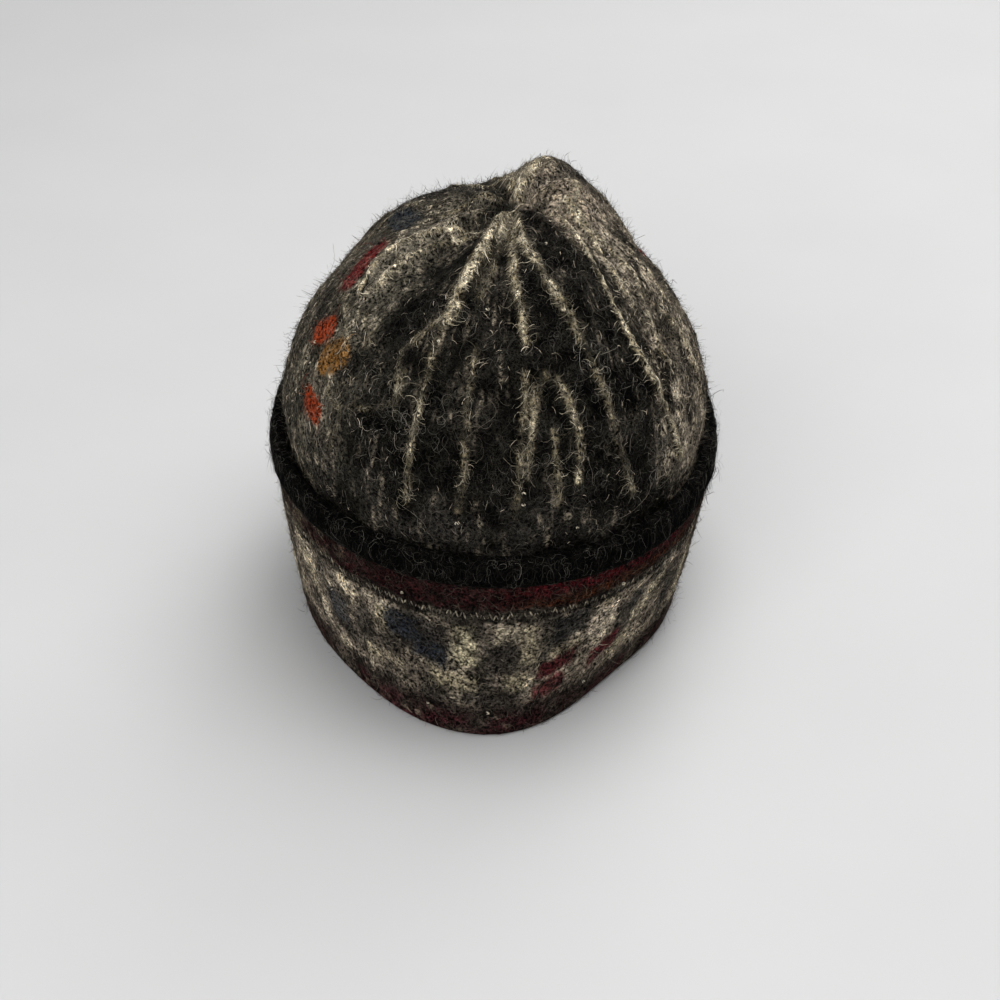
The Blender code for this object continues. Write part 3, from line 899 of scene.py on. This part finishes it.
def stitch_row(name, height, tall, code, seed):
    """A row of V stitches round the cuff, each of two tubes."""
    rng = np.random.default_rng(seed)
    legs = np.tile([-1.0, 1.0], STITCH_COUNT)
    turns = np.repeat(np.arange(STITCH_COUNT), 2) + 0.5 + rng.normal(0, 0.08, len(legs))
    turns = turns * 360 / STITCH_COUNT
    share = np.linspace(0, 1, 5)
    turns = turns[:, None] + (0.08 + 0.38 * share) * legs[:, None] * 360 / STITCH_COUNT
    length = tall * rng.uniform(0.75, 1.1, len(legs))
    low = height + 0.3 * MM * rng.normal(0, 1, len(legs))
    heights = low[:, None] + (share - 0.5) * length[:, None]
    places, outward = fluffy_cuff(turns.ravel(), heights.ravel())
    buried = rng.uniform(-0.24, 0.12, len(legs))[:, None] * MM + 0 * share
    spines = (places + outward * buried.reshape(-1, 1)).reshape(-1, 5, 3)
    widths = 0.72 * MM * both_ends(share) * rng.uniform(0.7, 1.15, len(legs))[:, None]
    bright = rng.uniform(0.25, 1.1, len(legs))
    bright = bright * (0.8 + 0.5 * wool_noise(spines[:, 2], 14 * MM, 52))
    colours = linear(code) * np.clip(bright, 0.08, None)[:, None]
    return tubes(name, spines, outward.reshape(-1, 5, 3), widths, colours, sides=4)


pale_stitches = stitch_row("pale_stitch_row", 58.2 * MM, 2.6 * MM, "#a89f8d", 51)

# %% [markdown]
# ## Fuzz
# Fulling leaves loose fibres all over the wool. Most of them lie on it in curls, and some stand
# off it, which softens the outline. Blender could grow them as hair, but hair isn't kept when
# the model is exported, so each fibre is a thin ribbon that walks over the skin: at every step
# it turns a little, and it takes the colour of the wool at its root.
#
# A kind of fuzz has a length and a width in mm, a curl in turns of a circle for each centimetre,
# the heights in mm at which its fibres lie or stand, and the share of them that stand. A ground
# is what the fibres walk on: a skin, its radius at an up, the metres in one up and its limits.

# %% Walk fibres over a skin
Fuzz = namedtuple("Fuzz", "length curl lie stand standing width steps")
Ground = namedtuple("Ground", "skin radius up_size limits")
STAND_LIMIT = 6.5 * MM
LIE_LIMIT = 2.5 * MM
ROOT_DEPTH = 0.08 * MM
LEAST_HEIGHT = 0.15 * MM


def walk(rng, turns, ups, heading, length, ground, fuzz):
    """Paths of fibres as turns and ups, one row for each fibre."""
    side = rng.choice([-1, 1], len(turns)) * rng.uniform(0.3, 1.5, len(turns))
    bend = side * fuzz.curl * math.tau / (10 * MM)
    stride = length / (fuzz.steps - 1)
    turn_rows = [turns]
    up_rows = [ups]
    for _ in range(fuzz.steps - 1):
        heading = heading + bend * stride + rng.normal(0, 0.4 * fuzz.curl, len(turns))
        turns = turns + np.degrees(np.cos(heading) * stride / ground.radius(ups))
        ups = ups + np.sin(heading) * stride / ground.up_size
        turn_rows.append(turns)
        up_rows.append(ups)
    return np.stack(turn_rows, 1), np.clip(np.stack(up_rows, 1), *ground.limits)


def grow_fuzz(name, count, roots, ground, fuzz, paint, seed):
    """Lays fibres on a ground and stands some up. roots gives their places and headings, and
    paint their colours."""
    rng = np.random.default_rng(seed)
    turns, ups, heading = roots(rng, count)
    count = len(turns)
    length = fuzz.length * MM * rng.lognormal(0, 0.35, count)
    turn_rows, up_rows = walk(rng, turns, ups, heading, length, ground, fuzz)
    places, outward = ground.skin(turn_rows.ravel(), up_rows.ravel())
    places = places.reshape(count, fuzz.steps, 3)
    outward = outward.reshape(count, fuzz.steps, 3)
    share = np.linspace(0, 1, fuzz.steps)
    low = np.sin(math.pi * share) ** 0.7 * (fuzz.lie * MM * rng.lognormal(0, 0.6, count))[:, None]
    tall = share**1.3 * (fuzz.stand * MM * rng.lognormal(-0.2, 0.5, count))[:, None]
    stands = (rng.random(count) < fuzz.standing)[:, None]
    lift = np.where(stands, np.minimum(tall, STAND_LIMIT), np.minimum(low, LIE_LIMIT)) - ROOT_DEPTH
    spines = places + outward * lift[..., None]
    spines[..., 2] = np.maximum(spines[..., 2], LEAST_HEIGHT)
    along = unit(np.gradient(spines, axis=1))
    tilt = rng.normal(0, 0.6, count)[:, None, None]
    level = unit(np.cross(outward, along))
    across = unit(level * np.cos(tilt) + np.cross(along, level) * np.sin(tilt))
    widths = fuzz.width * MM * rng.lognormal(0, 0.25, count)
    return ribbons(name, spines, across, widths, paint(rng, turns, ups, places[:, 0]))


def even_roots(rng, count):
    """Roots spread evenly over the dome, with headings all round."""
    rises = rng.random(count * 4)
    rises = rises[rng.random(len(rises)) < ring_radius(rises) / CROWN_RADIUS][:count]
    return rng.uniform(0, 360, len(rises)), rises, rng.uniform(0, math.tau, len(rises))


CROWN_GROUND = Ground(fluffy_crown, ring_radius, CROWN_ARC, (-0.02, 0.985))
print("Fibres walk at most", STAND_LIMIT / MM, "mm off the wool")


# %% Loose fuzz on the crown
def crown_fibre_colours(rng, turns, rises, places):
    """The wool's colour, with the pools' painted shade, dulled over the slubs, with grey mixed in
    by chance.
    """
    colours = crown_colours(turns, rises, places)
    patchy = (0.62 + 0.38 * wool_noise(places, 12 * MM, 64)) ** 2
    # Fewer grey fibres in the dark pools, which keeps their painted shade.
    for pool in SHADE_POOLS:
        patchy = patchy * (1 - 0.5 * pool.share * in_shade_pool(turns, rises, pool))
    colours = dye(colours, "#3a352c", 0.7 * ease(slub_strength(turns, rises), 0.2, 0.7))
    colours = dye(colours, "#a8a297", (0.03 + 0.97 * rng.beta(0.65, 2.2, len(turns))) * patchy)
    return colours * rng.uniform(0.6, 1.4, len(turns))[:, None]


crown_fuzz = grow_fuzz("crown_fuzz", 13500, even_roots, CROWN_GROUND,
                       Fuzz(7.5, 0.85, 0.35, 2.6, 0.14, 0.115, 8), crown_fibre_colours, 61)

# %% [markdown]
# The soft outline comes from a great many short hairs that stand off the wool.

# %% Short standing hairs on the crown
crown_halo = grow_fuzz("crown_halo", 9000, even_roots, CROWN_GROUND,
                       Fuzz(2.2, 1.6, 0.4, 2.3, 0.9, 0.10, 5), crown_fibre_colours, 65)

# %% [markdown]
# The slubs' own fibres run along them, so they get a brush of fibres that follows each path.

# %% Brush the slubs
def slub_roots(rng, count):
    """Roots along the slubs, with headings along them."""
    starts = []
    for slub in SLUBS:
        for (turn_a, rise_a), (turn_b, rise_b) in zip(slub.path, slub.path[1:]):
            radius = ring_radius((rise_a + rise_b) / 2)
            run = math.radians(around(turn_b, turn_a)) * radius
            climb = (rise_b - rise_a) * CROWN_ARC
            starts.append((turn_a, rise_a, run, climb, radius, slub.width, slub.bright))
    starts = np.array(starts).T
    _, _, run, climb, _, width, bright = starts
    weight = np.hypot(run, climb) * (0.6 + width) * (0.25 + bright)
    chosen = rng.choice(len(weight), count, p=weight / weight.sum())
    turn, rise, run, climb, radius, width, _ = starts[:, chosen]
    long = np.hypot(run, climb)
    share = rng.random(count)
    side = rng.normal(0, 0.33, count) * width * MM
    heading = np.arctan2(climb, run) + rng.choice([0, math.pi], count)
    heading = heading + rng.normal(0, 0.24, count)
    turn = turn + np.degrees((run * share - side * climb / long) / radius)
    return turn, rise + (climb * share + side * run / long) / CROWN_ARC, heading


def slub_fibre_colours(rng, turns, rises, places):
    """Pale where a slub's yarn lies on the surface, and dark where it has sunk in."""
    strength = slub_strength(turns, rises)
    broken = np.maximum(broken_yarn(places), ease(strength, 0.78, 0.95))
    share = strength * rng.beta(1.3, 1.1, len(turns)) * (0.2 + 1.0 * broken)
    return dye(plain("#1a1815", len(turns)), "#dcd2bb", share)


slub_fuzz = grow_fuzz("slub_fuzz", 7000, slub_roots, CROWN_GROUND,
                      Fuzz(3.6, 0.45, 0.25, 1.2, 0.0, 0.18, 6), slub_fibre_colours, 71)

# %% [markdown]
# The marl shows as short pale strokes down the knitting's columns. They are the legs of stitches
# in the paler ply of the yarn.

# %% Strokes of marl on the crown
def palest_heather(turns, rises):
    """Above 0 on the right and at the hump, where the heather is palest."""
    return sector(turns, 358, 34, 14) + sector(turns, 25, 72, 30) * ease(rises, 0.62, 0.78)


def marl_roots(rng, count):
    """Roots thick in the heather and thin in the dark, with headings up or down the columns."""
    turns, rises, _ = even_roots(rng, count * 3)
    places = smooth_frame(turns, rises)[0]
    heather = 0.7 * sector(turns, 184, 40, 24) + 0.45 * sector(turns, 90, 60, 40)
    heather = heather + palest_heather(turns, rises)
    heather = (0.16 + heather) * (0.6 + 0.8 * wool_noise(places, 8 * MM, 72))
    # Fewer strokes in the dark pools, which keeps their painted shade.
    for pool in SHADE_POOLS:
        heather = heather * (1 - pool.share * in_shade_pool(turns, rises, pool))
    kept = np.nonzero(rng.random(len(turns)) < heather)[0][:count]
    lean = np.where(rng.random(len(kept)) < 0.5, 0.38, -0.38) + rng.normal(0, 0.2, len(kept))
    return turns[kept], rises[kept], math.pi / 2 + lean


def marl_colours(rng, turns, rises, places):
    """Strokes from dark to pale, which take a strip's dye where they cross it."""
    pale = np.minimum(palest_heather(turns, rises), 1)
    share = rng.beta(0.9, 2.0, len(turns)) * (0.95 + 0.6 * pale)
    colours = dye(plain("#34302a", len(turns)), "#cdc1ae", share)
    for strip in STRIPS:
        near = near_path(turns, rises, strip.path, strip.width)
        colours = dye(colours, strip.code, ease(near, 0.3, 0.5))
    return colours


crown_marl = grow_fuzz("crown_marl", 8000, marl_roots, CROWN_GROUND,
                       Fuzz(3.0, 0.40, 0.18, 1.0, 0.0, 0.22, 5), marl_colours, 73)


# %% Fuzz on the cuff
def cuff_roots(rng, count):
    """Roots spread evenly over the cuff's outer face, with headings all round."""
    turns, heights = rng.uniform(0, 360, count), rng.uniform(2 * MM, 71 * MM, count)
    return turns, heights, rng.uniform(0, math.tau, count)


def cuff_fibre_colours(rng, turns, heights, places):
    """The cuff's own colours, with grey mixed in by chance."""
    colours = cuff_colours(turns, heights, places)
    colours = dye(colours, "#8e8778", 0.04 + 0.45 * rng.beta(1.2, 2.6, len(turns)))
    return colours * rng.uniform(0.6, 1.4, len(turns))[:, None]


CUFF_GROUND = Ground(fluffy_cuff, lambda heights: CUFF_RADIUS, 1.0, (1.0 * MM, cuff_top))
cuff_fuzz = grow_fuzz("cuff_fuzz", 9500, cuff_roots, CUFF_GROUND,
                      Fuzz(6.0, 0.8, 0.30, 2.2, 0.30, 0.11, 8), cuff_fibre_colours, 62)


# %% Strokes of marl on the cuff
def cuff_marl_roots(rng, count):
    """Roots with headings mostly round the cuff, the way the fulled stitches were drawn."""
    turns, heights, _ = cuff_roots(rng, count)
    return turns, heights, rng.choice([0.0, math.pi], count) + rng.normal(0, 0.75, count)


def cuff_marl_colours(rng, turns, heights, places):
    """The cuff's own colours, with some strokes much darker or brighter."""
    colours = cuff_colours(turns, heights, places)
    return colours * rng.lognormal(-0.15, 0.8, len(turns)).clip(0.05, 3.2)[:, None]


cuff_marl = grow_fuzz("cuff_marl", 11000, cuff_marl_roots, CUFF_GROUND,
                      Fuzz(2.6, 0.35, 0.16, 1.0, 0.0, 0.24, 5), cuff_marl_colours, 74)


# %% Fuzz on the black edge
def edge_roots(rng, count):
    """Roots on the edge's outer side, with headings all round."""
    angles = rng.uniform(-0.45 * math.pi, 0.6 * math.pi, count)
    return rng.uniform(0, 360, count), angles, rng.uniform(0, math.tau, count)


def edge_fibre_colours(rng, turns, angles, places):
    """Black fibres, with a few grey ones by chance."""
    return dye(edge_colours(places), "#99948a", 0.01 + 0.8 * rng.beta(0.6, 5.0, len(turns)))


EDGE_GROUND = Ground(fluffy_edge, lambda angles: EDGE_RADIUS, 5 * MM,
                     (-0.5 * math.pi, 0.75 * math.pi))
edge_fuzz = grow_fuzz("edge_fuzz", 4300, edge_roots, EDGE_GROUND,
                      Fuzz(6.5, 0.9, 0.4, 2.5, 0.3, 0.11, 8), edge_fibre_colours, 63)

# %% [markdown]
# ## Small bright things
# Neps are tight knots of fibre that catch the light. A few long hairs have worked loose, and at
# the gather the yarn that closed the top shows as a short pale curl. A hair that lifts by more
# than 5 mm stands off the wool at its tip, and the others lie on it in a low bow.

# %% Neps
NEP_STEPS = 8


def grow_neps(name, spots, skin, thick, code, seed):
    """Small closed curls of pale yarn, one at each spot of turn, up and size in mm."""
    rng = np.random.default_rng(seed)
    share = np.linspace(0, 1, NEP_STEPS)
    spines = []
    outward = []
    for turn, up, size in spots:
        place, out = skin(np.array([turn]), np.array([up]))
        first = unit(np.cross(out, [[0.3, 0.2, 1.0]]))[0]
        second = np.cross(out[0], first)
        angle = rng.uniform(0, math.tau) + share * math.tau * rng.uniform(0.6, 0.95)
        curl = first * np.cos(angle)[:, None] * size + second * np.sin(angle)[:, None] * size * 0.7
        spines.append(place + curl * MM / 2 + out * MM * (0.35 + 0.25 * np.sin(angle * 2))[:, None])
        outward.append(np.repeat(out, NEP_STEPS, axis=0))
    widths = np.tile(thick * MM * both_ends(share), (len(spots), 1))
    colours = plain(code, len(spots))
    return tubes(name, np.array(spines), np.array(outward), widths, colours)


CROWN_NEPS = (
    (278, 0.155, 1.3), (278, 0.13, 1.2), (262, 0.075, 1.2), (292, 0.05, 0.9), (297, 0.745, 1.0),
    (262, 0.575, 1.2), (248, 0.47, 1.0), (325, 0.165, 1.2), (200, 0.30, 1.3), (203, 0.255, 1.4),
    (98, 0.155, 1.3), (82, 0.075, 1.2), (117, 0.745, 1.0), (20, 0.30, 1.2), (140, 0.24, 1.2),
)
CUFF_NEPS = (
    (243, 54 * MM, 1.7), (306, 60 * MM, 1.5), (249, 62 * MM, 1.1), (271, 12 * MM, 1.3),
    (255, 12 * MM, 0.9), (300, 12 * MM, 1.1), (63, 54 * MM, 1.6), (126, 60 * MM, 1.4),
    (150, 30 * MM, 1.2),
)
crown_neps = grow_neps("crown_neps", CROWN_NEPS, fluffy_crown, 0.62, "#cfc7b4", 81)
cuff_neps = grow_neps("cuff_neps", CUFF_NEPS, fluffy_cuff, 0.66, "#c9c1ae", 82)


# %% The closing yarn and the long hairs
def smooth_line(points, steps):
    """Points spread along a smooth curve through the given points."""
    points = np.array(points, float)
    Row = namedtuple("Row", "height x y z")
    rows = [Row(float(index), *point) for index, point in enumerate(points)]
    shares = np.linspace(0, len(points) - 1, steps)
    return np.stack([between(rows, shares, name) for name in ("x", "y", "z")], -1)


CLOSING_STEPS = 18
CLOSING_PATH = ((-4.5, -1.5, 1.0), (-2.0, -2.6, 1.2), (0.3, -1.6, 1.6), (1.2, 0.8, 1.9),
                (2.6, 2.8, 2.2), (4.6, 3.4, 2.0))
gather = fluffy_crown(np.array([270.0]), np.array([0.985]))[0][0]
closing = smooth_line(gather + np.array(CLOSING_PATH) * MM, CLOSING_STEPS)[None]
closing_widths = 0.7 * MM * both_ends(np.linspace(0, 1, CLOSING_STEPS))[None]
upward = np.tile([0.0, 0.0, 1.0], (1, CLOSING_STEPS, 1))
closing_yarn = tubes("closing_yarn", closing, upward, closing_widths, plain("#a89f8b", 1), sides=6)

HAIR_STEPS = 12
HAIR_WIDTH = 0.12 * MM
Hair = namedtuple("Hair", "root tip lift")
LONG_HAIRS = (
    Hair((8, 0.80), (-6, 0.82), 10), Hair((283, 0.66), (290, 0.56), 1.0),
    Hair((268, 0.36), (262, 0.27), 1.6), Hair((318, 0.06), (333, 0.20), 2.4),
    Hair((300, 0.03), (316, 0.10), 1.8), Hair((246, 0.10), (257, 0.02), 1.6),
    Hair((170, 0.30), (158, 0.36), 9), Hair((95, 0.50), (102, 0.42), 1.2),
    Hair((60, 0.30), (70, 0.42), 2.0),
)
LOOSE_LIFT = 5
hair_lines = []
share = np.linspace(0, 1, HAIR_STEPS)
for (turn_a, rise_a), (turn_b, rise_b), lift in LONG_HAIRS:
    bow = np.sin(math.pi * share) * 0.05 + np.sin(math.tau * share) * 0.02
    path, out = fluffy_crown(turn_a + around(turn_b, turn_a) * share + 60 * bow,
                             rise_a + (rise_b - rise_a) * share)
    rise_off = lift * share**1.5 if lift > LOOSE_LIFT else 0.5 + lift * np.sin(math.pi * share)
    hair_lines.append(path + out * (rise_off * MM)[:, None])
hair_lines = np.array(hair_lines)
hair_out = unit(hair_lines - np.array([0, 0, 0.08]))
hair_widths = np.full((len(LONG_HAIRS), HAIR_STEPS), HAIR_WIDTH)
long_hairs = tubes("long_hairs", hair_lines, hair_out, hair_widths,
                   plain("#746e63", len(LONG_HAIRS)), flat=1.0, sides=3)

# %% [markdown]
# ## What wool looks like to the light
# Wool is rough and dull. What light it gives back comes from single fibres, so each wool material
# is nearly fully rough with hardly any gloss, and only the pale yarn has a little sheen. Up close
# wool is a tangle of curly fibres of about 0.03 mm. That is too fine to show here, so the tangle
# is drawn coarser, with lines about 0.2 mm wide. A line where smooth noise crosses its middle
# value curls just like a fibre, and three sizes of such lines over one another make the tangle.
# It brightens the wool with painted light along its fibres, adds the colour of the pale fibres, and
# lifts it. A finer noise paints shade into the gaps between fibres and light onto their tips.

# %% One function to add a node
def add(tree, kind, inputs=None, **settings):
    """Adds a node. settings are its own properties. inputs are values or other nodes' outputs."""
    node = tree.nodes.new(kind)
    for key, value in settings.items():
        setattr(node, key, value)
    for key, value in (inputs or {}).items():
        if isinstance(value, bpy.types.NodeSocket):
            tree.links.new(value, node.inputs[key])
        else:
            node.inputs[key].default_value = value
    return node


def new_material(name):
    """A material without nodes, and its node tree."""
    material = bpy.data.materials.new(name)
    material.use_nodes = True
    material.node_tree.nodes.clear()
    print("Material:", name)
    return material, material.node_tree


# %% Fulled wool
WOOL_IOR = 1.54
TANGLE_SIZES = ((1.3, 0.040), (2.0, 0.026), (0.8, 0.055))


def fulled_wool(name, gaps, tips, hair, sheen):
    """Wool whose colour is kept with the mesh. gaps and tips are its painted shade between fibres
    and painted light on their tips, and hair is the colour of the pale fibres in it."""
    material, tree = new_material(name)
    colour = add(tree, "ShaderNodeVertexColor", layer_name="wool_colour")
    where = add(tree, "ShaderNodeTexCoord").outputs["Object"]
    tangle = None
    for number, (size, thin) in enumerate(TANGLE_SIZES):
        noise = add(tree, "ShaderNodeTexNoise", {
            "Vector": where, "W": 3.1 * number, "Scale": 1 / (size * MM), "Detail": 1.0,
            "Distortion": 0.5}, noise_dimensions="4D")
        away = add(tree, "ShaderNodeMath", {0: noise.outputs["Fac"], 1: 0.5}, operation="SUBTRACT")
        away = add(tree, "ShaderNodeMath", {0: away.outputs[0]}, operation="ABSOLUTE")
        line = add(tree, "ShaderNodeMapRange", {
            "Value": away.outputs[0], "From Max": thin, "To Min": 1.0, "To Max": 0.0})
        if tangle:
            line = add(tree, "ShaderNodeMath", {0: tangle.outputs[0], 1: line.outputs[0]},
                       operation="MAXIMUM")
        tangle = line
    grain = add(tree, "ShaderNodeTexNoise", {
        "Vector": where, "Scale": 1 / (1.2 * MM), "Detail": 2.0, "Roughness": 0.6})
    # Painted shade in the gaps between fibres and painted light on their tips, from a fine noise.
    depth = add(tree, "ShaderNodeMapRange", {
        "Value": grain.outputs["Fac"], "From Min": 0.39, "From Max": 0.61,
        "To Min": gaps, "To Max": tips})
    # Painted light along the tangle's fibres.
    lit = add(tree, "ShaderNodeMapRange", {
        "Value": tangle.outputs[0], "To Min": 0.75, "To Max": 1.5})
    shade = add(tree, "ShaderNodeMath", {0: depth.outputs[0], 1: lit.outputs[0]},
                operation="MULTIPLY")
    tinted = add(tree, "ShaderNodeVectorMath", {
        0: colour.outputs["Color"], "Scale": shade.outputs[0]}, operation="SCALE")
    clumps = add(tree, "ShaderNodeTexNoise", {
        "Vector": where, "Scale": 1 / (7 * MM), "Detail": 2.0})
    thick = add(tree, "ShaderNodeMapRange", {
        "Value": clumps.outputs["Fac"], "From Min": 0.42, "From Max": 0.64,
        "To Min": 0.05, "To Max": 1.0})
    hairs = add(tree, "ShaderNodeMath", {0: tangle.outputs[0], 1: thick.outputs[0]},
                operation="MULTIPLY")
    haired = add(tree, "ShaderNodeVectorMath", {
        0: hairs.outputs[0], 1: tuple(linear(hair)), 2: tinted.outputs[0]},
        operation="MULTIPLY_ADD")
    height = add(tree, "ShaderNodeMath", {
        0: tangle.outputs[0], 1: 0.5, 2: grain.outputs["Fac"]}, operation="MULTIPLY_ADD")
    lifted = add(tree, "ShaderNodeBump", {
        "Strength": 0.9, "Distance": 0.5 * MM, "Height": height.outputs[0]})
    shader = add(tree, "ShaderNodeBsdfPrincipled", {
        "Base Color": haired.outputs[0], "Roughness": 0.95, "IOR": WOOL_IOR,
        "Specular IOR Level": 0.03, "Sheen Weight": sheen, "Sheen Roughness": 0.5,
        "Sheen Tint": (0.8, 0.77, 0.7, 1.0), "Normal": lifted.outputs[0]})
    add(tree, "ShaderNodeOutputMaterial", {"Surface": shader.outputs[0]})
    return material


crown_material = fulled_wool("charcoal_fulled_wool", 0.03, 2.5, "#37352f", 0.0)
cuff_material = fulled_wool("patterned_fulled_wool", 0.05, 2.1, "#2c2a26", 0.0)
edge_material = fulled_wool("black_fulled_wool", 0.2, 1.5, "#151412", 0.0)
stitch_material = fulled_wool("pale_wool_yarn", 0.6, 1.3, "#2a2824", 0.08)


# %% Loose fibres
def loose_fibre(name):
    """Single fibres are too thin for relief, so they get an uneven tone along their length."""
    material, tree = new_material(name)
    colour = add(tree, "ShaderNodeVertexColor", layer_name="wool_colour")
    where = add(tree, "ShaderNodeTexCoord").outputs["Object"]
    uneven = add(tree, "ShaderNodeTexNoise", {
        "Vector": where, "Scale": 1 / (1.5 * MM), "Detail": 2.0})
    shade = add(tree, "ShaderNodeMapRange", {
        "Value": uneven.outputs["Fac"], "From Min": 0.3, "From Max": 0.7,
        "To Min": 0.55, "To Max": 1.45})
    tinted = add(tree, "ShaderNodeVectorMath", {
        0: colour.outputs["Color"], "Scale": shade.outputs[0]}, operation="SCALE")
    shader = add(tree, "ShaderNodeBsdfPrincipled", {
        "Base Color": tinted.outputs[0], "Roughness": 0.8, "IOR": WOOL_IOR,
        "Specular IOR Level": 0.10})
    add(tree, "ShaderNodeOutputMaterial", {"Surface": shader.outputs[0]})
    return material


fibre_material = loose_fibre("loose_wool_fibre")

# %% Dress the pieces and fix them to the hat
for material, slot, pieces in (
        (crown_material, "crown_wool", (crown,)),
        (cuff_material, "cuff_wool", (cuff,)),
        (edge_material, "edge_wool", (edge,)),
        (stitch_material, "cuff_wool", (pale_stitches, cuff_neps)),
        (stitch_material, "crown_wool", (crown_neps, closing_yarn)),
        (fibre_material, "crown_wool", (crown_fuzz, crown_halo, slub_fuzz, crown_marl, long_hairs)),
        (fibre_material, "cuff_wool", (cuff_fuzz, cuff_marl)),
        (fibre_material, "edge_wool", (edge_fuzz,))):
    for piece in pieces:
        piece.data.materials.append(material)
        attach(piece, "root")
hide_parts("crown")
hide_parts("cuff")
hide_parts("cuff_edge")
print("Every piece rides on the hat")

# %% [markdown]
# ## A plain studio
# The hat stands on a pale floor under soft light from large lamps, the way small things are
# photographed for a catalogue. The camera looks down on the back of the hat.

# %% Floor
floor_mesh = bpy.data.meshes.new("studio_floor")
FLOOR_HALF = 3
corners = [(-FLOOR_HALF, -FLOOR_HALF, 0), (FLOOR_HALF, -FLOOR_HALF, 0),
           (FLOOR_HALF, FLOOR_HALF, 0), (-FLOOR_HALF, FLOOR_HALF, 0)]
floor_mesh.from_pydata(corners, [], [(0, 1, 2, 3)])
floor = bpy.data.objects.new("studio_floor", floor_mesh)
bpy.context.scene.collection.objects.link(floor)
floor_material, floor_tree = new_material("matt_grey_board")
floor_grain = add(floor_tree, "ShaderNodeTexNoise", {"Scale": 60.0, "Detail": 3.0})
floor_tone = add(floor_tree, "ShaderNodeMapRange", {
    "Value": floor_grain.outputs["Fac"], "To Min": 0.46, "To Max": 0.49})
floor_shader = add(floor_tree, "ShaderNodeBsdfPrincipled", {
    "Base Color": floor_tone.outputs[0], "Roughness": 0.7})
add(floor_tree, "ShaderNodeOutputMaterial", {"Surface": floor_shader.outputs[0]})
floor_mesh.materials.append(floor_material)


# %% Lights
def soft_lamp(name, place, aim, size, power):
    """A square lamp of size metres that faces a point."""
    light = bpy.data.lights.new(name, "AREA")
    light.size = size
    light.energy = power
    lamp = bpy.data.objects.new(name, light)
    lamp.location = place
    away = np.array(place) - np.array(aim)
    flat = math.hypot(away[0], away[1])
    lamp.rotation_euler = (math.atan2(flat, away[2]), 0, math.atan2(away[0], -away[1]))
    bpy.context.scene.collection.objects.link(lamp)


soft_lamp("top_lamp", (0.25, 0.15, 1.5), (0, 0, 0.1), 1.2, 15.5)
soft_lamp("back_fill", (-0.5, -1.3, 0.9), (0, 0, 0.08), 1.0, 15.5)
soft_lamp("front_fill", (0.6, 1.3, 1.0), (0, 0, 0.08), 1.0, 9)
world = bpy.data.worlds.new("studio_air")
world.use_nodes = True
air = world.node_tree.nodes["Background"]
air.inputs["Color"].default_value = (1.0, 1.0, 1.0, 1)
air.inputs["Strength"].default_value = 0.35
bpy.context.scene.world = world
bpy.context.scene.view_settings.view_transform = "Standard"
bpy.context.scene.view_settings.look = "Medium High Contrast"
print("Three lamps and soft air")

# %% Camera
CAMERA_ELEVATION = math.radians(33.5)
CAMERA_ROLL = math.radians(2.0)
CAMERA_DISTANCE = 0.8
CAMERA_AIM = np.array([0.0035, -0.0218, 0.0552])
camera_data = bpy.data.cameras.new("camera")
camera_data.sensor_width = 36
camera_data.lens = 72
camera = bpy.data.objects.new("camera", camera_data)
camera.location = CAMERA_AIM + CAMERA_DISTANCE * np.array(
    [0, -math.cos(CAMERA_ELEVATION), math.sin(CAMERA_ELEVATION)])
tilted = Matrix.Rotation(math.pi / 2 - CAMERA_ELEVATION, 3, "X")
camera.rotation_euler = (tilted @ Matrix.Rotation(CAMERA_ROLL, 3, "Z")).to_euler()
bpy.context.scene.collection.objects.link(camera)
bpy.context.scene.camera = camera
print("Camera at", [round(number, 3) for number in camera.location])
